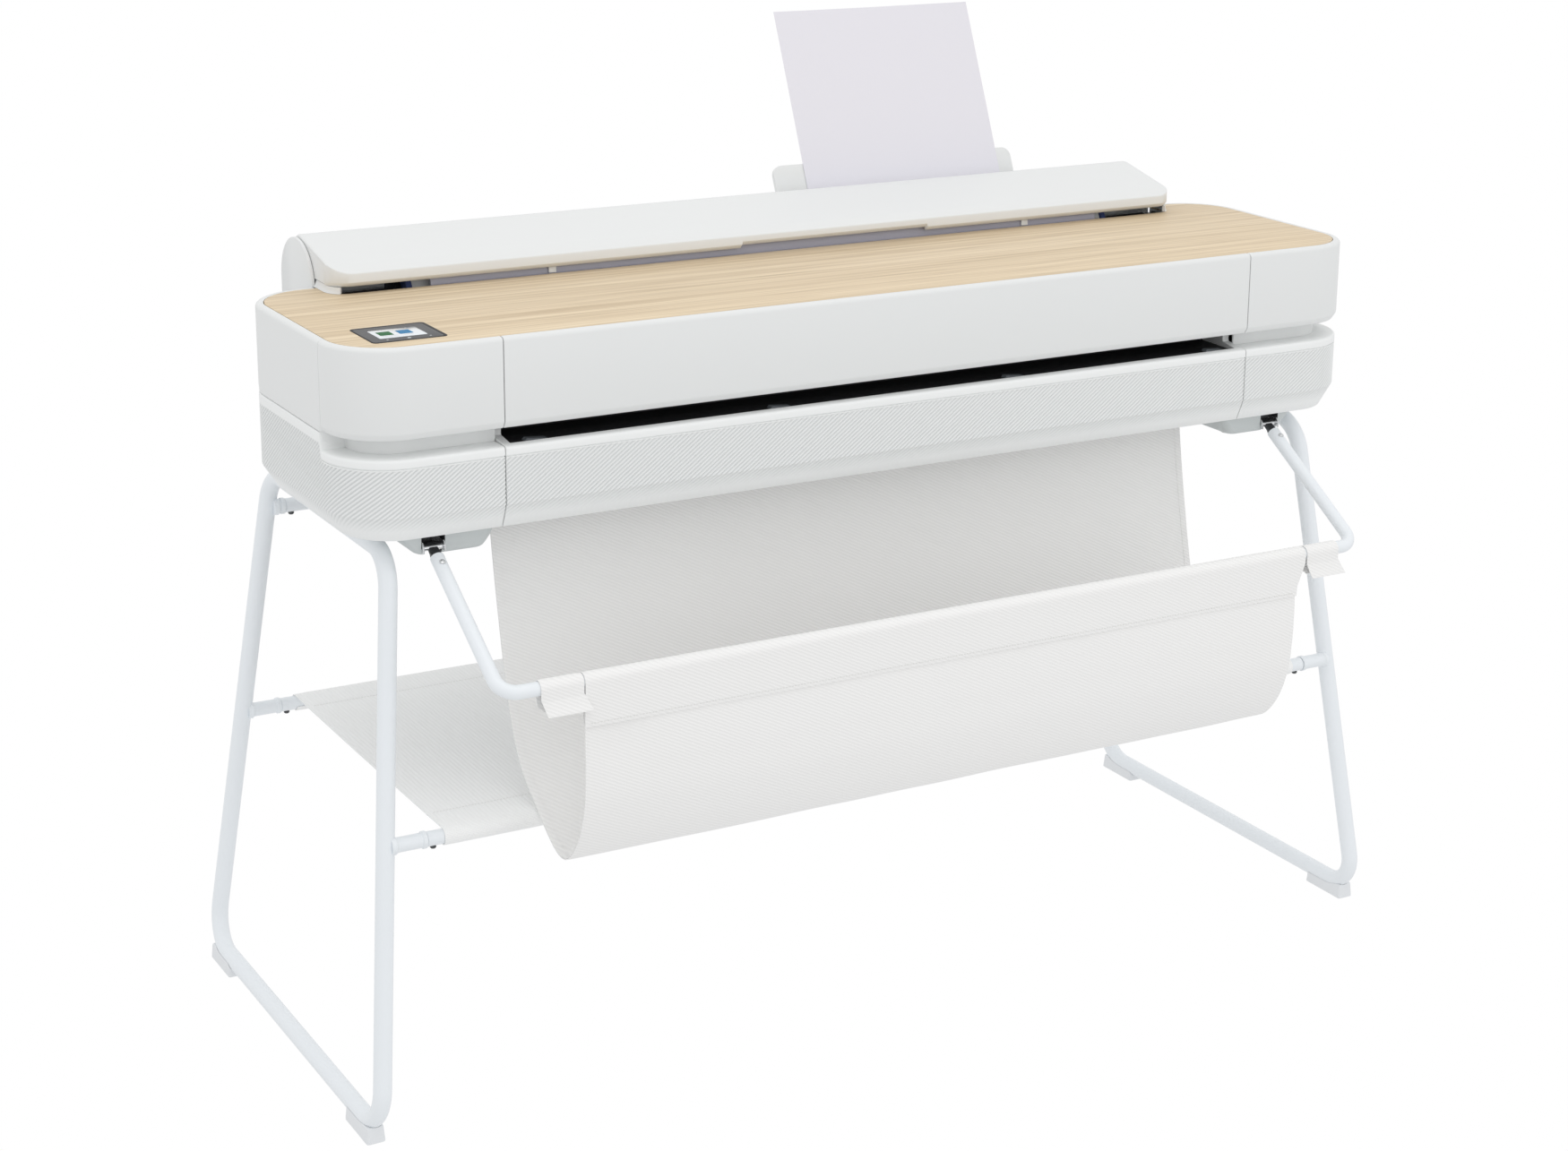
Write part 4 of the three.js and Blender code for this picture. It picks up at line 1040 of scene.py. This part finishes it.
def build_stand():
    loop = tube(loop_points(), FRAME_N, TUBE_RADIUS, closed=True, sides=32)
    channel = tube(loop_points(), FRAME_N, CHANNEL_RADIUS, closed=True, sides=24)
    for side in SIDES:
        parts = [mirror(loop, side)]
        for _, y, z in STUBS:
            reach = frame_x(z) - 4 - RAIL_X
            weld = [(0.3, 8.9), (0.7, 9.3), (4.4, 9.3), (5.0, 8.7), (5.3, 8.0), (reach - 9.5, 8.0)]
            weld += [(reach - 7, 8.3), (reach - 5.4, 8.9), (reach - 4.4, 9.9), (reach - 3.8, 9.7)]
            weld.append((reach, 9))
            parts.append(mirror(turned(weld, (RAIL_X, y, z), (1, 0, 0), 32), side))
        piece(f"{side}_frame_tube", *merged(*parts), "frame_paint", stands_for=[f"{side}_side_frame"])
        for end, y0 in (("front", -212.4), ("rear", 236.4)):
            layers = []
            for z, half, trim, radius in SADDLE_LEVELS:
                ends = (y0 + trim, y0 + SADDLE_LENGTH - trim)
                layers.append((z, round_rect(SADDLE_X - half, SADDLE_X + half, *ends, radius, 4)))
            foot = piece(f"{side}_{end}_saddle", *mirror(stacked(layers), side), "foot_plastic",
                         stands_for=[f"{side}_{end}_foot"], sharp=30)
            carve(foot, mirror(channel, side), "foot_plastic")
    for name, y, z in STUBS:
        length = 2 * RAIL_X
        outline = [(0.2, 7.4), (0.8, RAIL_RADIUS), (length - 0.8, RAIL_RADIUS), (length - 0.2, 7.4)]
        rod = turned(outline, (-RAIL_X, y, z), (1, 0, 0), 32)
        piece(f"{name}_crossbar", *rod, "frame_paint", stands_for=[f"{name}_rail"])


# ---------------------------------------------------------------- fabric

CLOTH = 1.5
SHELF_WIDTH = 1111.0
BASKET_WIDTH = 902.0


def cloth(name, surface, count_u, count_v, slot, body, stands_for, mat=None, ride=True, thick=CLOTH):
    """A thin closed sheet over surface(u, v), u along X and v along the cloth's length."""
    points = [[Vector(surface(i / count_u, j / count_v)) for i in range(count_u + 1)]
              for j in range(count_v + 1)]
    rows = []
    for j in range(count_v + 1):
        front = []
        back = []
        for i in range(count_u + 1):
            du = points[j][min(i + 1, count_u)] - points[j][max(i - 1, 0)]
            dv = points[min(j + 1, count_v)][i] - points[max(j - 1, 0)][i]
            n = du.cross(dv).normalized() * (thick / 2)
            if i in (0, count_u) or j in (0, count_v):
                n *= 0.75
            front.append(tuple(points[j][i] + n))
            back.append(tuple(points[j][i] - n))
        rows.append(front + list(reversed(back)))
    return piece(name, *solid(rows), slot, body, stands_for, sharp=70, mat=mat, ride=ride)


def polyline(points):
    """Arc-length sampler over 2-D points, and their whole length."""
    lengths = [0.0]
    for a, b in zip(points, points[1:]):
        lengths.append(lengths[-1] + (Vector(b) - Vector(a)).length)

    def at(share):
        target = share * lengths[-1]
        for i in range(1, len(points)):
            if lengths[i] >= target:
                local = (target - lengths[i - 1]) / max(lengths[i] - lengths[i - 1], 1e-9)
                return Vector(points[i - 1]).lerp(Vector(points[i]), local)
        return Vector(points[-1])

    return at, lengths[-1]


def catmull(knots, steps=12):
    """A smooth curve through 2-D points."""
    points = []
    padded = [knots[0], *knots, knots[-1]]
    for i in range(1, len(padded) - 2):
        p0, p1, p2, p3 = (Vector(p) for p in padded[i - 1:i + 3])
        for step in range(steps):
            t = step / steps
            points.append(tuple(0.5 * ((2 * p1) + (p2 - p0) * t + (2 * p0 - 5 * p1 + 4 * p2 - p3) * t * t
                                       + (3 * p1 - p0 - 3 * p2 + p3) * t ** 3)))
    points.append(tuple(knots[-1]))
    return points


def arc(cy, cz, radius, a0, a1, steps=14):
    return [(cy + radius * math.cos(math.radians(a0 + (a1 - a0) * i / steps)),
             cz + radius * math.sin(math.radians(a0 + (a1 - a0) * i / steps))) for i in range(steps + 1)]


def stitches(name, x0, x1, y, z, normal, body, parent):
    """A row of short threads along X, standing a little proud of the cloth."""
    parts = []
    n = Vector((0, *normal)).normalized()
    x = x0
    while x + 2.6 < x1:
        rows = []
        for dx, rise in ((0, -0.3), (0.7, 0.25), (1.9, 0.25), (2.6, -0.3)):
            centre = Vector((x + dx, y, z)) + n * rise
            across = Vector((1, 0, 0)).cross(n) * 0.3
            rows.append([tuple(centre + across), tuple(centre + n * 0.3), tuple(centre - across),
                         tuple(centre - n * 0.2)])
        parts.append(solid(rows))
        x += 3.6
    return attached(parent, name, merged(*parts), "basket_fabric", body, mat=THREAD, sharp=80)


def build_shelf():
    """One panel whose ends wrap the two lower rails as sleeves."""
    r = RAIL_RADIUS + 1.1
    (_, front_y, z), (_, rear_y, _) = STUBS[:2]
    path = arc(front_y, z, r, -20, -270, 20)
    flat = []
    for i in range(1, 40):
        share = i / 40
        y = front_y + (rear_y - front_y) * share
        flat.append((y, z + r - 1.2 * math.sin(math.pi * share)))
    path = path + flat + arc(rear_y, z, r, 90, -160, 20)
    at, length = polyline(path)
    stitch_rows = (front_y + 42, rear_y - 45)

    def surface(u, v):
        y, pz = at(v)
        x = SHELF_WIDTH * (u - 0.5)
        for row in stitch_rows:
            pz -= 0.5 * math.exp(-((y - row) / 2.2) ** 2) if pz > z + 4 else 0.0
        if pz > z + 4:
            inner = min(1.0, (1 - abs(2 * u - 1)) * 4)
            pz += 0.5 * noise.noise((x / 160, y / 90, 2.0)) * inner
        return x, y, pz

    shelf = cloth("shelf_cloth", surface, 90, 150, "basket_fabric", ROOT, ["shelf_sling"], SHELF_CLOTH_PAINTED_LIGHT)
    for i, row in enumerate(stitch_rows):
        stitches(f"shelf_stitches_{i}", -548, 548, row, z + r + 0.1, (0, 1), ROOT, shelf)


BAR_Y = -310.8
BAR_Z = 509.8
SLING = [
    (-82, 629), (-83, 606), (-99, 520), (-122, 425), (-150, 366), (-194, 328), (-238, 300),
    (-268, 301), (-295, 330), (-311, 370), (-315.6, 410), (-316.2, 440), (-315.3, 463), (-313.0, 485),
]


def build_basket():
    at, length = polyline(catmull(SLING))

    def surface(u, v):
        y, z = at(v)
        x = BASKET_WIDTH * (u - 0.5)
        free = math.sin(math.pi * min(1.0, max(0.0, v))) ** 0.8
        wave = 2.6 * noise.noise((x / 210, v * 3.2, 5.1)) + 0.8 * noise.noise((x / 70, v * 7, 1.7))
        dimple = -3.4 * math.exp(-((x + 418) / 34) ** 2 - ((z - 438) / 26) ** 2) if v > 0.6 else 0.0
        inside = min(1.0, (1 - abs(2 * u - 1)) * 9)
        shift = wave * free * 0.8 * inside
        if v < 0.45:
            y += shift
        elif v > 0.7:
            y += min(shift, 1.5) - dimple * 0.8
            y = max(y, -318.4)
        else:
            z += shift
        return x, y, z

    sling = cloth("basket_cloth", surface, 150, 150, "basket_fabric", ROOT, ["basket_sling"], ride=False)
    hems = []
    for name, u_edge in (("left", 0.0), ("right", 1.0)):
        inner = u_edge + (0.009 if u_edge == 0 else -0.009)

        def side_hem(u, v, a=min(u_edge, inner), b=max(u_edge, inner)):
            x, y, z = surface(a + (b - a) * u, 0.02 + 0.95 * v)
            ahead = surface(a, min(1.0, 0.02 + 0.95 * v + 0.004))
            behind = surface(a, max(0.0, 0.02 + 0.95 * v - 0.004))
            t = Vector((0, ahead[1] - behind[1], ahead[2] - behind[2])).normalized()
            n = Vector((0, -t.z, t.y))
            return x, y - n.y * 1.1, z - n.z * 1.1

        hem = cloth(f"{name}_side_hem", side_hem, 4, 110, "basket_fabric", ROOT, [], ride=False, thick=0.7)
        hems.append(hem)
    for obj in [sling, *hems]:
        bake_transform(obj)

    def sleeve(x0, x1, drop_z, name, stretch=0.0, flare=0.0, skew=0.0, cut=0.0):
        """A loop of cloth over the bar, its two layers meeting below."""
        loop = [(BAR_Y - 2.6, drop_z + 3), (BAR_Y - 0.5, 487), (BAR_Y + 4.6, 498)]
        loop += arc(BAR_Y, BAR_Z, 8.45, -30, 184, 24)
        loop += [(BAR_Y - 8.1, 498), (BAR_Y - 7.5 - flare * 0.4, (498 + drop_z) / 2)]
        loop += [(BAR_Y - 6.4 - flare, drop_z)]
        lookup, size = polyline(loop)

        def over_bar(u, v):
            y, z = lookup(v)
            x = x0 + (x1 - x0) * u
            if z < 500 and y < BAR_Y:
                share = min(1.0, (500 - z) / (500 - drop_z + 1e-6))
                x += skew * share + stretch * share * (u - 0.5)
            if cut:
                x += cut * max(0.0, (u - 0.9) / 0.1) * min(1.0, max(0.0, (z - 474) / 26))
            y += 0.25 * noise.noise((x / 30, z / 20, 0.4))
            return x, max(y, -327.0 if flare else -319.2), z

        count = max(10, round((x1 - x0) / 8))
        hem = cloth(name, over_bar, count, 60, "basket_fabric", "basket_bar_body", [], thick=1.4)
        return hem, size

    hem, hem_size = sleeve(-452, 452, 462, "bar_hem", cut=9.0)
    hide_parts("basket_hem")
    hem_thread = stitches("hem_stitches", -446, 446, BAR_Y - 7.5, 466.0, (-1, 0), "basket_bar_body", hem)
    left_tab, tab_size = sleeve(-500, -453.2, 482, "left_tab", 3, 7, 7)
    right_tab, _ = sleeve(463.5, 509, 482, "right_tab", 3, 7, 7)


PIVOT = Vector((539.5, -140.8, 615.6))


def build_bar():
    drop = PIVOT.z - BAR_Z
    reach = PIVOT.y - BAR_Y
    arm = math.hypot(drop, reach)
    down = Vector((0, -reach / arm, -drop / arm))
    corners = [(-PIVOT.x, 14), (-PIVOT.x, arm), (PIVOT.x, arm), (PIVOT.x, 14)]
    path = round_path(corners, [0, 20, 20, 0], False, 16)
    origin = Vector((0, PIVOT.y, PIVOT.z))
    points = [tuple((origin + down * v).to_3d() + Vector((x, 0, 0))) for x, v in path]
    normal = Vector((1, 0, 0)).cross(down)
    bar = piece("basket_rod", *tube(points, normal, 7.5, sides=32), "frame_paint", "basket_bar_body",
                ["basket_bar"])
    for side in SIDES:
        x = PIVOT.x if side == "right" else -PIVOT.x
        centre = Vector((x, PIVOT.y, PIVOT.z))
        tongue_rows = []
        for v, half, thick in ((-6, 3.5, 2.2), (-4, 5, 2.4), (8, 5.6, 2.6), (13, 6.2, 4.4), (17, 6.6, 6.2)):
            middle = centre + down * v
            ring = round_rect(-half, half, -thick, thick, min(half, thick) * 0.6, 4)
            tongue_rows.append([tuple(middle + Vector((a, 0, 0)) + normal * b) for a, b in ring])
        tongue = solid(tongue_rows)
        attached(bar, f"{side}_bar_tongue", tongue, "dark_steel", "basket_bar_body")
        face = centre + down * 27 - normal * 7.2
        head = [(0, 3.4), (0.5, 3.4), (0.5, 2.5), (0.9, 2.4), (1.3, 1.6), (1.5, 0.4)]
        rivet = turned(head, face, -normal, 24)
        attached(bar, f"{side}_bar_rivet", rivet, "aluminium", "basket_bar_body", mat=CHROME)


# The hinge housing from the bottom up: height, cut-backs inside, outside and at the ends, corner radius.
HINGE_LEVELS = (
    (608.3, 17, 24, 6, 7), (608.9, 15, 21, 3.6, 9), (610.4, 12.6, 18, 2, 10), (613, 10.6, 15, 1.2, 10),
    (620, 6, 9.5, 0.6, 9), (628, 2.4, 4, 0.2, 8), (634.8, 0, 0, 0, 8),
)


def build_hinges():
    for side in SIDES:
        layers = []
        for z, left, end, deep, radius in HINGE_LEVELS:
            layers.append((z, round_rect(468 + left, 575.5 - end, -144 + deep, -56 - deep, radius)))
        block = mirror(stacked(layers), side)
        body = piece(f"{side}_hinge_block", *block, "hinge_grey", sharp=40,
                     stands_for=[f"{side}_hinge_housing"])
        pocket = prism(round_rect(526.5, 552.5, 613.0, 633.0, 4, 5), 0, 46, 0.1, 0.1)
        verts = [(x, -150 + h, z) for x, z, h in pocket[0]]
        carve(body, mirror((verts, pocket[1]), side), "dark_plastic")
        notch = along_x([(-150, 600), (-150, 616), (-126, 616), (-126, 600)], 530.1, 548.9, 0.1)
        carve(body, mirror(notch, side), "dark_plastic")
        ears = []
        for x in (527.0, 550.4):
            outline = [(-147, 611.5), (-147, 619), (-143, 622.6), (-112, 624), (-112, 612.6)]
            ears.append(mirror(along_x(outline, x, x + 1.7, 0.3), side))
        bent = [(-123, 631), (-123, 633), (-109, 633), (-109, 612.6), (-111, 612.6), (-111, 631)]
        plate = mirror(along_x(bent, 527, 552, 0.2), side)
        pin = turned([(0, 2.4), (0.5, 3), (24.5, 3), (25, 2.4)], (527, PIVOT.y, PIVOT.z), (1, 0, 0), 24)
        pin = mirror(pin, side)
        piece(f"{side}_hinge_ears", *merged(*ears, plate, pin), "sheet_steel",
              stands_for=[f"{side}_hinge_bracket"], mat=CHROME)
        pad = turned([(0, 10.2), (0.6, 11), (4.3, 11), (4.5, 10)], (505, -112, 603.5), (0, 0, 1), 40)
        piece(f"{side}_rubber_foot", *mirror(pad, side), "rubber", stands_for=[f"{side}_rubber_pad"])


# ---------------------------------------------------------------- CAD nodes that stay

NODE_SLOTS = {
    "top_deck": "casing_white", "rear_housing": "casing_white", "roll_spindle": "dark_plastic",
    "base_pan": "sheet_steel", "platen": "dark_plastic", "feed_roller": "rubber", "pinch_roller": "rubber",
    "carriage_rail": "aluminium", "print_carriage": "dark_plastic", "service_station": "dark_plastic",
    "power_inlet": "dark_plastic",
}
PAIR_SLOTS = {
    "roll_hub": "hub_blue", "side_plate": "sheet_steel", "ink_cartridge": "cartridge_grey",
    "lower_front_screw": "dark_steel", "lower_rear_screw": "dark_steel", "upper_rear_screw": "dark_steel",
}


def finish_cad_nodes():
    looks = dict(NODE_SLOTS)
    for name, slot in PAIR_SLOTS.items():
        for side in SIDES:
            looks[f"{side}_{name}"] = slot
    for name, slot in looks.items():
        obj = nodes[name]
        for place in obj.material_slots:
            place.material = MATERIALS[slot]


build_casings()
build_slot()
build_top()
build_cover()
build_bay()
build_tray()
build_stand()
build_shelf()
build_basket()
build_bar()
build_hinges()
finish_cad_nodes()

bpy.context.view_layer.update()
